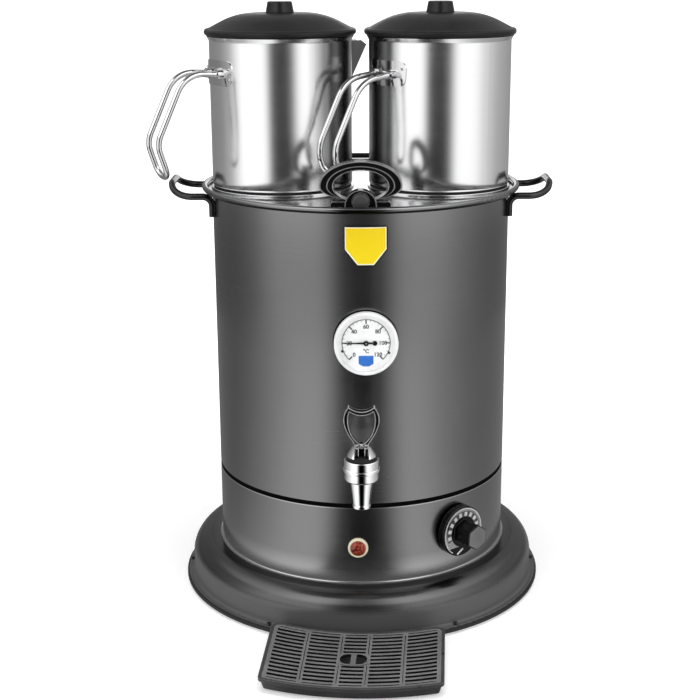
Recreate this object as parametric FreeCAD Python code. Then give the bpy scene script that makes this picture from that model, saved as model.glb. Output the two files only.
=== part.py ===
import FreeCAD, Part
import math
import os
from FreeCAD import Vector

# A free-standing electric tea urn with two teapots standing on its hinged cover.
# The table is the plane Z = 0, the Z axis is the axis of the body, and the tap faces -Y.
# All sizes are in millimetres, and angles around the body are measured from the front
# towards +X, in degrees.

body_radius = 165.0

# Sheet steel and fits
sheet = 1.2
fit = 0.2
pin_fit = 0.08
seat_gap = 0.3
well_clear = 300.0
screw_radius = 2.0
screw_head_radius = 3.5
screw_head_height = 2.0

# Foot
foot_wall_spread = 35.0
foot_edge_width = 8.5
rubber_foot_inset = 24.5
foot_edge_bottom = 3.0
foot_edge_top = 8.0
foot_top = 51.5
foot_shoulder_bend = 22.0
foot_collar_height = 12.0
floor_plate_gap = 1.6
foot_wall_radius = body_radius + foot_wall_spread
foot_edge_radius = foot_wall_radius + foot_edge_width
rubber_foot_circle = foot_edge_radius - rubber_foot_inset
rubber_foot_radius = 13.0
rubber_foot_taper = 2.5
rubber_foot_count = 4
floor_screw_count = 6
vent_half_length = 24.0
vent_half_width = 3.0
vent_pitch = 14.0
vent_first_row = 2
vent_last_row = 4

# Body
housing_lip = 3.2
housing_top = 139.5
seam_width = 5.0
seam_depth = 1.0
seam_tongue = 9.0
seam_band_thickness = 3.0
jacket_top = 457.3
tank_gap = 15.0
tank_radius = body_radius - tank_gap
tank_floor = 162.0
tank_corner = 12.0

# Cover
cover_overhang = 11.5
cover_radius = body_radius + cover_overhang
cover_bead_radius = 3.2
cover_bead_lift = 2.7
cover_skirt_gap = 4.0
cover_skirt_radius = tank_radius - cover_skirt_gap
cover_skirt_depth = 11.0
pot_spacing = 174.0
pot_opening_radius = 55.0
pot_land_height = 2.0
pot_land_radius = 79.5
pot_land_bend = 0.8
seat_ring_thickness = 1.2
seat_ring_radius = 76.5
seat_ring_bend = 0.4
seat_ring_lip = 2.0
seat_ring_lip_depth = 4.0

# Cover handle
handle_inset = 17.0
handle_y = handle_inset - body_radius
handle_depth = 14.0
handle_centre_height = 24.0
handle_half_width = 42.4
handle_rise = 25.3
handle_fall = 14.5
handle_hole_half_width = 28.2
handle_hole_rise = 16.2
handle_hole_fall = 15.5
handle_groove = 1.6
handle_base_half_width = 31.0
handle_base_height = 8.0
handle_base_depth = 9.0
handle_base_foot = 9.0
handle_hub_radius = 16.0
handle_hub_height = 4.0
handle_plug_radius = 8.6
handle_plug_height = 8.6
handle_plug_stand = 9.5
handle_plug_sunk = 5.0

# Cover hinge
hinge_stand_off = 22.0
hinge_rise = 10.4
hinge_y = body_radius + hinge_stand_off
hinge_height = jacket_top + hinge_rise
hinge_pin_radius = 3.2
hinge_pin_length = 100.0
hinge_knuckle_radius = 6.0
hinge_leaf_centre = 29.0
hinge_leaf_width = 10.0
hinge_bracket_centre = 41.0
hinge_bracket_width = 10.0
hinge_leaf_length = 71.0
hinge_leaf_front = hinge_y - hinge_leaf_length
hinge_leaf_thickness = 2.5
hinge_leaf_step_back = 25.0
hinge_leaf_step = hinge_y - hinge_leaf_step_back
hinge_leaf_step_run = 5.0
hinge_bracket_drop = 44.3
hinge_elbow_depth = 11.3
hinge_bracket_bottom = jacket_top - hinge_bracket_drop
hinge_bracket_elbow = jacket_top - hinge_elbow_depth
hinge_bracket_inset = 1.0
hinge_bracket_depth = 15.0
hinge_arm_half_depth = 3.0
hinge_elbow_drop = 10.0
hinge_elbow_rise = 3.0
hinge_plate_lip = 2.0
hinge_screw_length = 11.0
fastener_first = 6.0
fastener_second = 18.0
rivet_head_height = 1.2

# Teapots
pot_radius = 77.7
pot_rim_radius = 80.4
pot_rim_height = 625.2
pot_neck = 4.6
pot_neck_bend = 4.0
pot_base_bend = 2.5
spout_reach = 109.0
spout_level_reach = 98.0
spout_top_drop = 8.2
spout_tip_drop = 13.7
spout_bottom_drop = 72.2
spout_top = pot_rim_height - spout_top_drop
spout_tip_height = pot_rim_height - spout_tip_drop
spout_bottom = pot_rim_height - spout_bottom_drop
spout_half_width = 21.0
pot_turns = {"left": 59.6, "right": 51.5}
bracket_drop = 37.8
bracket_height = pot_rim_height - bracket_drop
bracket_radius = 14.0
bracket_half_spread = 20.0
bracket_thickness = 1.5
bracket_band = 20.0
socket_radius = 5.2
socket_length = 6.0
pot_rod_radius = 3.2
pot_rod_spread = 27.0
pot_rod_corners = {
    "left": ((119.5, 589.5, 31.0), (154.0, 518.0, 25.0)),
    "right": ((120.5, 582.5, 37.0), (160.0, 508.5, 32.0))}
pot_rod_tips = {"left": (142.0, 481.5), "right": (146.0, 485.0)}
pot_rivet_radius = 1.6

# Lids of the teapots
lid_radius = 82.8
lid_plug_radius = 75.2
lid_plug_depth = 10.0
lid_rim_height = 7.2
lid_rim_bend = 2.7
lid_dome_foot = 78.4
lid_dome_shoulder = 48.0
lid_dome_shoulder_height = 15.8
lid_dome_bend = 80.0
lid_crown = 0.8
lid_crown_radius = 12.0
lid_crown_bend = 100.0
lid_knob_height = 11.6
lid_knob_bottom_radius = 15.4
lid_knob_top_radius = 13.2
lid_knob_top_bend = 1.6
lid_screw_radius = 2.4

# Carrying handles at the sides
carry_rod_radius = 3.75
carry_half_spread = 43.0
carry_leg_drop = 24.1
carry_leg_bottom = jacket_top - carry_leg_drop
carry_arm_drop = 2.1
carry_arm_height = jacket_top - carry_arm_drop
carry_arm_bend = 10.4
carry_arm_stand_off = 38.0
carry_arm_reach = body_radius + carry_arm_stand_off
carry_corner_bend = 24.0
carry_tip_stand_off = 43.5
carry_tip_reach = body_radius + carry_tip_stand_off
carry_tip_half_spread = 21.3
carry_tip_rise = 11.7
carry_tip_height = carry_arm_height + carry_tip_rise
carry_tip_bend = 20.0
carry_sunk = 0.8

# Badge
badge_angle = 1.7
badge_width = 45.0
badge_drop = 11.7
badge_tall = 41.6
badge_top = jacket_top - badge_drop
badge_bottom = badge_top - badge_tall
badge_thickness = 1.4
badge_foot_half_width = 9.0
badge_corner_rise = 17.0
badge_rim = 1.8
badge_bend = 2.0
badge_field_depth = 0.4

# Thermometer
gauge_angle = 1.7
gauge_height = 324.0
gauge_radius = 33.25
gauge_depth = 11.0
gauge_bezel = 3.2
gauge_wall = 2.2
gauge_floor = 4.0
gauge_dial_thickness = 0.6
gauge_glass_thickness = 1.4
gauge_glass_inset = 1.2
gauge_probe_radius = 4.5
gauge_probe_length = 66.0
gauge_nut_radius = 9.0
gauge_nut_height = 4.0
pointer_length = 23.0
pointer_tail = 9.0
pointer_tip_half = 0.2
pointer_half = 1.2
pointer_tail_half = 0.7
pointer_tail_radius = 2.6
pointer_hub_radius = 2.8
pointer_axle_radius = 0.8
pointer_thickness = 0.6
pointer_lift = 1.2

# Signal lamp
lamp_angle = -1.4
lamp_height = 94.0
lamp_bezel_radius = 11.0
lamp_bezel_depth = 2.6
lamp_barrel_radius = 7.0
lamp_barrel_length = 24.0
lamp_nut_radius = 9.0
lamp_nut_height = 3.0
lamp_lens_radius = 8.4
lamp_lens_rise = 2.6
lamp_lens_seat = 1.4

# Thermostat and its knob
knob_angle = 39.0
knob_height = 100.5
knob_stand = 3.0
knob_radius = 28.4
knob_skirt_depth = 8.0
knob_skirt_chamfer = 1.2
knob_grip_radius = 14.5
knob_grip_length = 23.0
knob_grip_bend = 3.0
knob_grip_turn = 25.0
knob_cap_radius = 13.0
knob_cap_depth = 1.4
knob_cap_sunk = 0.8
scale_inner_radius = 17.3
scale_outer_radius = 27.0
scale_thickness = 0.7
scale_chord = 16.2
shaft_radius = 3.0
shaft_reach = 18.0
shaft_buried = 6.0
thermostat_bush_radius = 5.0
thermostat_width = 40.0
thermostat_tall = 34.0
thermostat_deep = 24.0
thermostat_flange_width = 44.0
thermostat_flange_tall = 24.0
thermostat_flange_thickness = 1.4
thermostat_flange_gap = 1.6

# Heater, probe and cut-out under and in the tank
heater_leg_x = 18.0
heater_leg_y = 60.0
heater_rod_radius = 4.0
heater_loop_half_width = 90.0
heater_loop_front = -70.0
heater_loop_height = 188.0
heater_leg_length = 20.0
heater_leg_bottom = tank_floor - heater_leg_length
heater_nut_radius = 10.0
heater_nut_height = 7.0
heater_washer_radius = 9.0
heater_washer_height = 4.0
probe_x = 60.0
probe_y = -40.0
probe_bulb_radius = 3.5
probe_bulb_length = 68.0
probe_tube_radius = 1.25
probe_gland_radius = 7.0
probe_gland_height = 7.0
cutout_x = -45.0
cutout_y = -20.0
cutout_radius = 9.0
cutout_height = 10.0
cutout_ear = 13.0

# Mains side
gland_height = 80.0
gland_radius = 10.0
gland_thread_radius = 7.5
gland_bore_radius = 4.0
gland_flange_radius = 11.5
gland_flange_height = 4.5
gland_dome_drop = 4.0
gland_nut_height = 4.0
wall_nut_gap = 0.4
gland_outside = 15.0
gland_inside = 14.0
block_y = 106.0
block_width = 54.0
block_depth = 22.0
block_height = 19.0
block_pole_pitch = 15.0
block_well_radius = 4.0
block_well_depth = 5.0
block_well_inset = 6.0
block_screw_radius = 3.0
block_screw_sunk = 2.0
wire_radius = 1.5
wire_turn_drop = 8.0
wire_dip = 22.0
wire_step = 15.0
wire_bend = 11.0
wire_end_inset = 5.0
wire_floor_level = 30.0
wire_dip_level = 44.0
wire_low_level = 48.0
wire_middle_level = 62.0
wire_high_level = 96.0
wire_thermostat_stand = 60.0
wire_lamp_stand = 26.0
wire_lamp_end_drop = 9.0
wire_lamp_end_run = 30.0

# Tap
tap_reach = 55.0
tap_outlet = 163.0
tap_outlet_radius = 9.0
tap_nozzle_radius = 11.8
tap_nozzle_length = 30.5
tap_collar_height = 9.7
tap_collar_bottom = tap_outlet + tap_nozzle_length
tap_collar_top = tap_collar_bottom + tap_collar_height
tap_collar_radius = 17.3
tap_chamber_radius = 8.2
tap_seat_drop = 9.5
tap_seat_height = tap_collar_bottom - tap_seat_drop
tap_seat_bore = 5.0
tap_shank_rise = 2.0
tap_shank_height = tap_collar_bottom + tap_shank_rise
tap_shank_radius = 7.6
tap_shank_bore = 4.5
tap_flange_radius = 15.0
tap_flange_thickness = 3.0
tap_washer_thickness = 2.0
tap_mouth_depth = 12.0
tap_mouth_radius = 7.4
tap_shank_inside = 33.0
tap_nut_radius = 13.0
tap_nut_height = 6.0
bonnet_radius = 17.8
bonnet_ring_radius = 18.7
bonnet_ring_height = 3.0
bonnet_height = 12.8
bonnet_top = tap_collar_top + bonnet_height
bonnet_disc_radius = 15.4
bonnet_disc_stand = 3.6
bonnet_disc_top = bonnet_top + bonnet_disc_stand
cheek_top_radius = 8.6
cheek_height = 10.4
cheek_top = bonnet_disc_top + cheek_height
stem_radius = 2.9
cup_radius = 7.2
cup_height = 6.0
lever_heel_radius = 4.3
lever_heel_gap = 0.5
lever_pin_height = bonnet_disc_top + lever_heel_radius + lever_heel_gap
lever_pin_radius = 1.5
lever_neck_half_width = 7.3
lever_neck_half_depth = 5.0
lever_cam_reach = 6.0
lever_neck_rise = 8.6
lever_loop_belly = 21.0
lever_loop_tall = 39.0
lever_loop_bottom = lever_pin_height + lever_neck_rise
lever_loop_middle = lever_loop_bottom + lever_loop_belly
lever_loop_top = lever_loop_bottom + lever_loop_tall
lever_loop_half_width = 18.0
lever_loop_top_half_width = 13.0
lever_loop_wall = 4.4
lever_loop_depth = 8.0
lever_bar_sag = 5.0
lever_bar_thickness = 4.0
lever_slot = 6.0
lever_slot_rise = 4.4
lever_rib_radius = 1.3
lever_rib_pitch = 4.6
spring_radius = 5.2
spring_wire = 0.55
spring_turns = 3
spring_collar = 1.4
bonnet_spigot = 2.0

# Drip tray
tray_x = -9.0
tray_y = -268.4
tray_yaw = 3.6
tray_height = 16.0
tray_foot_height = 3.0
tray_foot_radius = 6.0
tray_foot_inset = 30.0
tray_foot_shift = 10.0
tray_half_length = 60.8
tray_half_width = 93.2
tray_rear_curve = 212.0
tray_front_curve = 270.0
tray_rear_bend = 9.0
tray_front_bend = 6.0
tray_lip = 2.2
tray_lip_height = 3.6
tray_draft = 2.6
tray_wall = 2.0
tray_floor = 2.0
tray_ledge = 2.6
grate_thickness = 2.6
grate_gap = 0.5
grate_drop = 0.6
grate_dividers = (-51.4, -14.4, 14.4, 51.4)
grate_rows = 15
grate_slot = 4.4
grate_end_margin = 6.5
grate_side_margin = 7.6
grate_rib = 2.0
grate_divider_slit = 1.2
finger_hole_half_width = 14.0
finger_hole_half_length = 10.5
finger_bar = 5.0
finger_rim = 2.4
finger_rim_rise = 0.6


# Shape helpers

def in_xy(a, b):
    return Vector(a, b, 0)


def in_xz(a, b):
    return Vector(a, 0, b)


def in_yz(a, b):
    return Vector(0, a, b)


def bend_points(before, at, after, bend):
    """The start, middle and end of the arc that rounds a corner with the given radius."""
    to_before = (before - at).normalize()
    to_after = (after - at).normalize()
    half_angle = to_before.getAngle(to_after) / 2
    run = bend / math.tan(half_angle)
    middle_line = (to_before + to_after).normalize()
    middle = at + middle_line * (bend / math.sin(half_angle) - bend)
    return at + to_before * run, middle, at + to_after * run


def path_edges(corners, closed):
    """Straight edges through corners (point, bend), with an arc at each corner that has a bend."""
    count = len(corners)
    stops = []
    for i, (point, bend) in enumerate(corners):
        at_end = not closed and i in (0, count - 1)
        if bend == 0 or at_end:
            stops.append((point, None, point))
        else:
            before = corners[i - 1][0]
            after = corners[(i + 1) % count][0]
            stops.append(bend_points(before, point, after, bend))
    edges = []
    for i, (start, middle, end) in enumerate(stops):
        if middle is not None:
            edges.append(Part.Arc(start, middle, end).toShape())
        if closed or i < count - 1:
            following = stops[(i + 1) % count][0]
            if end.distanceToPoint(following) > 1e-6:
                edges.append(Part.LineSegment(end, following).toShape())
    return edges


def flat_face(corners, to_space):
    """A face inside flat corners (a, b) or (a, b, bend)."""
    spatial = [(to_space(corner[0], corner[1]), corner[2] if len(corner) > 2 else 0) for corner in corners]
    return Part.Face(Part.Wire(path_edges(spatial, True)))


def prism(corners, to_space, start, length):
    """A face pushed along its normal, from start to start + length."""
    normal = to_space(1, 0).cross(to_space(0, 1))
    face = flat_face(corners, to_space)
    face.translate(normal * start)
    return face.extrude(normal * length)


def slab(corners, bottom, top):
    return prism(corners, in_xy, bottom, top - bottom)


def rectangle(half_x, half_y, bend=0):
    signs = [(-1, -1), (1, -1), (1, 1), (-1, 1)]
    return [(a * half_x, b * half_y, bend) for a, b in signs]


def across(corners, x_from, x_to):
    """A profile in Y and Z that runs along X."""
    return prism(corners, in_yz, x_from, x_to - x_from)


def spin(corners):
    """A solid turned about the Z axis from corners (radius, height) or (radius, height, bend)."""
    return flat_face(corners, in_xz).revolve(Vector(0, 0, 0), Vector(0, 0, 1), 360)


def heading(start, end):
    run = math.hypot(end[0] - start[0], end[1] - start[1])
    return (end[0] - start[0]) / run, (end[1] - start[1]) / run


def shifted(corners, shift):
    """The corners of a bent path moved sideways, to the left of its direction when shift is positive."""
    last = len(corners) - 1
    moved = []
    for i, (a, b, bend) in enumerate(corners):
        entering = heading(corners[max(i, 1) - 1], corners[max(i, 1)])
        leaving = heading(corners[min(i, last - 1)], corners[min(i, last - 1) + 1])
        cosine = entering[0] * leaving[0] + entering[1] * leaving[1]
        turn = entering[0] * leaving[1] - entering[1] * leaving[0]
        scale = shift / (1 + cosine)
        new_bend = bend - math.copysign(shift, shift * turn) if bend and abs(turn) > 1e-9 else 0
        new_a = a - (entering[1] + leaving[1]) * scale
        new_b = b + (entering[0] + leaving[0]) * scale
        moved.append((new_a, new_b, new_bend))
    return moved


def bent_sheet(corners, thickness):
    """The outline of a sheet of even thickness, whose middle line runs through the corners."""
    return shifted(corners, thickness / 2) + shifted(corners, -thickness / 2)[::-1]


def cylinder(radius, bottom, top, x=0, y=0):
    return Part.makeCylinder(radius, top - bottom, Vector(x, y, bottom))


def tube(outer, inner, bottom, top, x=0, y=0):
    return cylinder(outer, bottom, top, x, y).cut(cylinder(inner, bottom - 1, top + 1, x, y))


def cone(bottom_radius, top_radius, bottom, top):
    return Part.makeCone(bottom_radius, top_radius, top - bottom, Vector(0, 0, bottom))


def hexagon(radius, turn=0, bend=0):
    """The corners of a regular hexagon with the given corner radius."""
    angles = [math.radians(60 * i + turn) for i in range(6)]
    return [(radius * math.cos(a), radius * math.sin(a), bend) for a in angles]


def hex_nut(radius, bottom, top, x=0, y=0):
    nut = slab(hexagon(radius), bottom, top)
    nut.translate(Vector(x, y, 0))
    return nut


def rod(corners, radius):
    """A round rod along spatial corners (point, bend)."""
    edges = path_edges(corners, False)
    spine = Part.Wire(edges)
    start = corners[0][0]
    direction = corners[1][0] - start
    section = Part.Wire(Part.Circle(start, direction, radius).toShape())
    shell = Part.BRepOffsetAPI.MakePipeShell(spine)
    shell.add(section)
    shell.build()
    shell.makeSolid()
    return shell.shape()


def along_x(radius, x_from, x_to, y, z):
    return Part.makeCylinder(radius, x_to - x_from, Vector(x_from, y, z), Vector(1, 0, 0))


def along_y(radius, x, z, y_from, y_to):
    return Part.makeCylinder(radius, y_to - y_from, Vector(x, y_from, z), Vector(0, 1, 0))


def at_front(shape, angle, height, radius=body_radius):
    """Moves a shape made in a local frame, with X to the right, Y up and Z outwards, to the body's wall."""
    turn = math.radians(angle)
    right = Vector(math.cos(turn), math.sin(turn), 0)
    up = Vector(0, 0, 1)
    out = Vector(math.sin(turn), -math.cos(turn), 0)
    origin = out * radius + up * height
    matrix = FreeCAD.Matrix(
        right.x, up.x, out.x, origin.x,
        right.y, up.y, out.y, origin.y,
        right.z, up.z, out.z, origin.z,
        0, 0, 0, 1)
    moved = shape.copy()
    moved.Placement = FreeCAD.Placement(matrix)
    return moved


def wall_hole(radius, angle, height, inner=tank_radius - 10, outer=body_radius + 10):
    """A drill through the walls of the body, along a radius."""
    return at_front(cylinder(radius, inner - body_radius, outer - body_radius), angle, height)


def around(count, radius, first=0):
    """Points evenly spaced on a circle."""
    angles = [math.radians(first + 360 * i / count) for i in range(count)]
    return [(radius * math.sin(a), -radius * math.cos(a)) for a in angles]


def fuse(first, *others):
    return first.multiFuse(list(others)).removeSplitter()


def cut(shape, *tools):
    for tool in tools:
        shape = shape.cut(tool)
    return shape


# Foot of the urn

floor_plate_top = foot_edge_top - sheet
floor_plate_bottom = floor_plate_top - sheet
floor_plate_radius = foot_edge_radius - sheet - floor_plate_gap
floor_screw_circle = (foot_wall_radius + foot_edge_radius) / 2 - 1.0
foot_collar_radius = body_radius - sheet - fit


def floor_screw_places():
    return around(floor_screw_count, floor_screw_circle, 30)


def rubber_foot_places():
    """One foot at the centre, under the weight of the tank, and the others round the rim."""
    return [(0, 0)] + around(rubber_foot_count, rubber_foot_circle, 45)


def base_ring():
    half = sheet / 2
    collar = foot_collar_radius - half
    wall = foot_wall_radius - half
    ledge = foot_edge_top - half
    middle_line = [
        (collar, foot_top + foot_collar_height, 0),
        (collar, foot_top - half, 2.0),
        (wall, foot_top - half, foot_shoulder_bend),
        (wall, ledge, 4.0),
        (foot_edge_radius - half, ledge, 2.0),
        (foot_edge_radius - half, foot_edge_bottom, 0)]
    ring = spin(bent_sheet(middle_line, sheet))
    holes = [cylinder(screw_radius + fit, 0, foot_top / 2, x, y) for x, y in floor_screw_places()]
    return cut(ring, *holes)


def bottom_plate():
    plate = cylinder(floor_plate_radius, floor_plate_bottom, floor_plate_top)
    holes = [cylinder(screw_radius + fit, 0, foot_top, x, y) for x, y in floor_screw_places()]
    for row in range(vent_first_row, vent_last_row + 1):
        for side in (-1, 1):
            vent = slab(rectangle(vent_half_length, vent_half_width), 0, foot_top)
            vent.translate(Vector(0, side * row * vent_pitch, 0))
            holes.append(vent)
    return cut(plate, *holes)


def bottom_screws():
    screws = []
    for x, y in floor_screw_places():
        head = cylinder(screw_head_radius, floor_plate_bottom - screw_head_height, floor_plate_bottom, x, y)
        shank = cylinder(screw_radius, floor_plate_bottom, foot_edge_top + 3, x, y)
        screws.append(fuse(head, shank))
    return Part.makeCompound(screws)


def rubber_feet():
    foot = spin([
        (0, 0),
        (rubber_foot_radius - rubber_foot_taper, 0),
        (rubber_foot_radius, floor_plate_bottom),
        (0, floor_plate_bottom)])
    feet = []
    for x, y in rubber_foot_places():
        placed = foot.copy()
        placed.translate(Vector(x, y, 0))
        feet.append(placed)
    return Part.makeCompound(feet)


# Walls of the body

jacket_bottom = housing_top + seam_width


def lower_housing():
    wall = body_radius - sheet / 2
    middle_line = [
        (wall + housing_lip, foot_top + sheet / 2, 0),
        (wall, foot_top + sheet / 2, 1.6),
        (wall, housing_top, 0)]
    housing = spin(bent_sheet(middle_line, sheet))
    return cut(
        housing,
        wall_hole(lamp_barrel_radius + fit, lamp_angle, lamp_height),
        wall_hole(thermostat_bush_radius + fit, knob_angle, knob_height),
        wall_hole(gland_thread_radius + fit, 180, gland_height))


def seam_band():
    inner_wall = body_radius - sheet
    return spin([
        (inner_wall - seam_band_thickness, housing_top - seam_tongue),
        (inner_wall, housing_top - seam_tongue),
        (inner_wall, housing_top),
        (body_radius - seam_depth, housing_top),
        (body_radius - seam_depth, jacket_bottom),
        (inner_wall, jacket_bottom),
        (inner_wall, jacket_bottom + seam_tongue),
        (inner_wall - seam_band_thickness, jacket_bottom + seam_tongue)])


def hinge_screw_places():
    low = hinge_bracket_bottom + fastener_first
    high = hinge_bracket_bottom + fastener_second
    return [(side * hinge_bracket_centre, z) for side in (-1, 1) for z in (low, high)]


def upper_jacket():
    jacket = tube(body_radius, body_radius - sheet, jacket_bottom, jacket_top)
    hinge_holes = [along_y(screw_radius + fit, x, z, 0, body_radius) for x, z in hinge_screw_places()]
    return cut(
        jacket,
        wall_hole(tap_shank_radius + fit, 0, tap_shank_height),
        wall_hole(gauge_probe_radius + fit, gauge_angle, gauge_height),
        *hinge_holes)


def inner_tank():
    half = sheet / 2
    middle_line = [
        (0, tank_floor + half, 0),
        (tank_radius - half, tank_floor + half, tank_corner),
        (tank_radius - half, jacket_top + half, 2.0),
        (body_radius, jacket_top + half, 0)]
    tank = spin(bent_sheet(middle_line, sheet))
    leg_hole = heater_rod_radius + fit
    legs = [cylinder(leg_hole, 0, tank_floor + 5, side * heater_leg_x, heater_leg_y) for side in (-1, 1)]
    return cut(
        tank,
        wall_hole(tap_shank_radius + fit, 0, tap_shank_height),
        wall_hole(gauge_probe_radius + fit, gauge_angle, gauge_height),
        cylinder(probe_tube_radius + fit, 0, tank_floor + 5, probe_x, probe_y),
        *legs)


def badge_outline(inset):
    """A plain six-cornered outline, narrower at its foot, drawn in by inset."""
    half_width = badge_width / 2
    half_tall = badge_tall / 2
    side_turn = math.atan2(half_width - badge_foot_half_width, badge_corner_rise)
    foot_turn = math.pi / 2 - side_turn
    side = half_width - inset
    top = half_tall - inset
    corner = badge_corner_rise - half_tall + inset * math.tan(side_turn / 2)
    foot = badge_foot_half_width - inset * math.tan(foot_turn / 2)
    right = [(foot, -top), (side, corner), (side, top)]
    left = [(-x, y) for x, y in reversed(right)]
    return [(x, y, badge_bend) for x, y in right + left]


def badge_plate():
    """A plain plate that follows the wall, with a raised rim round an empty field."""
    middle = (badge_top + badge_bottom) / 2
    reach = 10.0
    block = at_front(slab(badge_outline(0), -reach, reach), badge_angle, middle)
    field = at_front(slab(badge_outline(badge_rim), -reach, reach), badge_angle, middle)
    back = body_radius + fit
    face = back + badge_thickness
    plate = tube(face, back, badge_bottom - reach, badge_top + reach).common(block)
    hollow = tube(face + 1, face - badge_field_depth, badge_bottom - reach, badge_top + reach).common(field)
    return plate.cut(hollow)


# Cover with its handle and hinge

pot_offsets = {"left": -pot_spacing / 2, "right": pot_spacing / 2}
cover_under = jacket_top + sheet + seat_gap
cover_top = cover_under + sheet
cover_bead_circle = cover_radius - cover_bead_radius
cover_bead_height = cover_top + cover_bead_lift


def pot_openings(radius, bottom, top):
    return [cylinder(radius, bottom, top, x, 0) for x in pot_offsets.values()]


def leaf_rivet_places():
    near = hinge_leaf_front + fastener_first
    far = hinge_leaf_front + fastener_second
    return [(side * hinge_leaf_centre, y) for side in (-1, 1) for y in (near, far)]


def cover_plate():
    disc = cylinder(cover_bead_circle, cover_under, cover_top)
    bead = Part.makeTorus(cover_bead_circle, cover_bead_radius, Vector(0, 0, cover_bead_height))
    skirt_bottom = cover_under - cover_skirt_depth
    skirt = tube(cover_skirt_radius, cover_skirt_radius - sheet, skirt_bottom, cover_under)
    cover = fuse(disc, bead, skirt)
    low = cover_under - 1
    land_top = cover_top + pot_land_height
    high = land_top + 1
    for x in pot_offsets.values():
        land = spin([
            (0, cover_under),
            (pot_land_radius, cover_under),
            (pot_land_radius, land_top, pot_land_bend),
            (0, land_top)])
        land.translate(Vector(x, 0, 0))
        cover = cover.fuse(land)
    openings = pot_openings(pot_opening_radius, low, high)
    rivets = [cylinder(screw_radius + fit, low, high, x, y) for x, y in leaf_rivet_places()]
    return cut(cover, *openings, *rivets)


def pot_seat_rings():
    lip_radius = pot_opening_radius - fit
    bore = lip_radius - seat_ring_lip
    land_top = cover_top + pot_land_height
    top = land_top + seat_ring_thickness
    ring = spin([
        (bore, cover_under - seat_ring_lip_depth),
        (lip_radius, cover_under - seat_ring_lip_depth),
        (lip_radius, land_top),
        (seat_ring_radius, land_top),
        (seat_ring_radius, top, seat_ring_bend),
        (bore, top, seat_ring_bend)])
    rings = []
    for x in pot_offsets.values():
        placed = ring.copy()
        placed.translate(Vector(x, 0, 0))
        rings.append(placed)
    return Part.makeCompound(rings)


def half_ellipses(half_width, rise, fall, centre):
    """A closed egg shape in X and Z, with its own height above and below its widest line."""
    middle = Vector(0, 0, centre)
    left = Vector(-half_width, 0, centre)
    right = Vector(half_width, 0, centre)
    edges = []
    for height, sign in ((rise, 1), (fall, -1)):
        peak = Vector(0, 0, centre + sign * height)
        if half_width > height:
            curve = Part.Ellipse(right, peak, middle)
        else:
            curve = Part.Ellipse(peak, right, middle)
        ends = sorted((curve.parameter(right), curve.parameter(left)))
        arc = curve.toShape(ends[0], ends[1])
        if (arc.valueAt((ends[0] + ends[1]) / 2).z - centre) * sign < 0:
            arc = curve.toShape(ends[1], ends[0] + 2 * math.pi)
        edges.append(arc)
    return Part.Wire(Part.__sortEdges__(edges))


def loop_slice(inset, y_from, y_to):
    """A slice of the handle's loop, with its outer edge drawn in by inset."""
    centre = cover_top + handle_centre_height
    outer = half_ellipses(handle_half_width - inset, handle_rise - inset, handle_fall - inset, centre)
    inner = half_ellipses(handle_hole_half_width, handle_hole_rise, handle_hole_fall, centre)
    push = Vector(0, y_to - y_from, 0)
    ring = Part.Face(outer).extrude(push).cut(Part.Face(inner).extrude(push))
    ring.translate(Vector(0, y_from, 0))
    return ring


def cover_handle():
    rear = handle_y + handle_depth / 2
    front = handle_y - handle_depth / 2
    third = handle_depth / 3
    loop = fuse(
        loop_slice(0, front, front + third),
        loop_slice(handle_groove, front + third, rear - third),
        loop_slice(0, rear - third, rear))
    a = handle_base_half_width
    foot = a - handle_base_foot
    base_top = cover_top + handle_base_height
    base_start = -handle_y - handle_base_depth / 2
    base_outline = [(-a, cover_top), (a, cover_top), (a, base_top, 3.0), (-a, base_top, 3.0)]
    base = prism(base_outline, in_xz, base_start, handle_base_depth)
    hub_centre = cover_top + handle_hub_height
    hub = along_y(handle_hub_radius, 0, hub_centre, front, rear)
    below_cover = slab(rectangle(well_clear, well_clear), 0, cover_top)
    plug_height = cover_top + handle_plug_height
    recess = along_y(handle_plug_radius, 0, plug_height, front - 1, front + handle_plug_sunk)
    relief = prism(
        [(-foot, cover_top - 1), (foot, cover_top - 1), (foot, cover_top + 1.2), (-foot, cover_top + 1.2)],
        in_xz, base_start - 1, handle_base_depth + 2)
    relief = relief.cut(hub)
    return cut(fuse(loop, base, hub), below_cover, recess, relief)


def cover_handle_plug():
    """A domed plug that hides the screw of the cover handle."""
    front = handle_y - handle_depth / 2
    radius = handle_plug_radius - fit
    length = handle_plug_sunk + handle_plug_stand
    plug = spin([(0, 0), (radius, 0), (radius, length - 1.6, 2.0), (0, length)])
    plug.rotate(Vector(0, 0, 0), Vector(1, 0, 0), 90)
    plug.translate(Vector(0, front + handle_plug_sunk, cover_top + handle_plug_height))
    return plug


def hinge_pin():
    half = hinge_pin_length / 2
    return along_x(hinge_pin_radius, -half, half, hinge_y, hinge_height)


hinge_bracket_face = body_radius - hinge_bracket_inset


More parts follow.
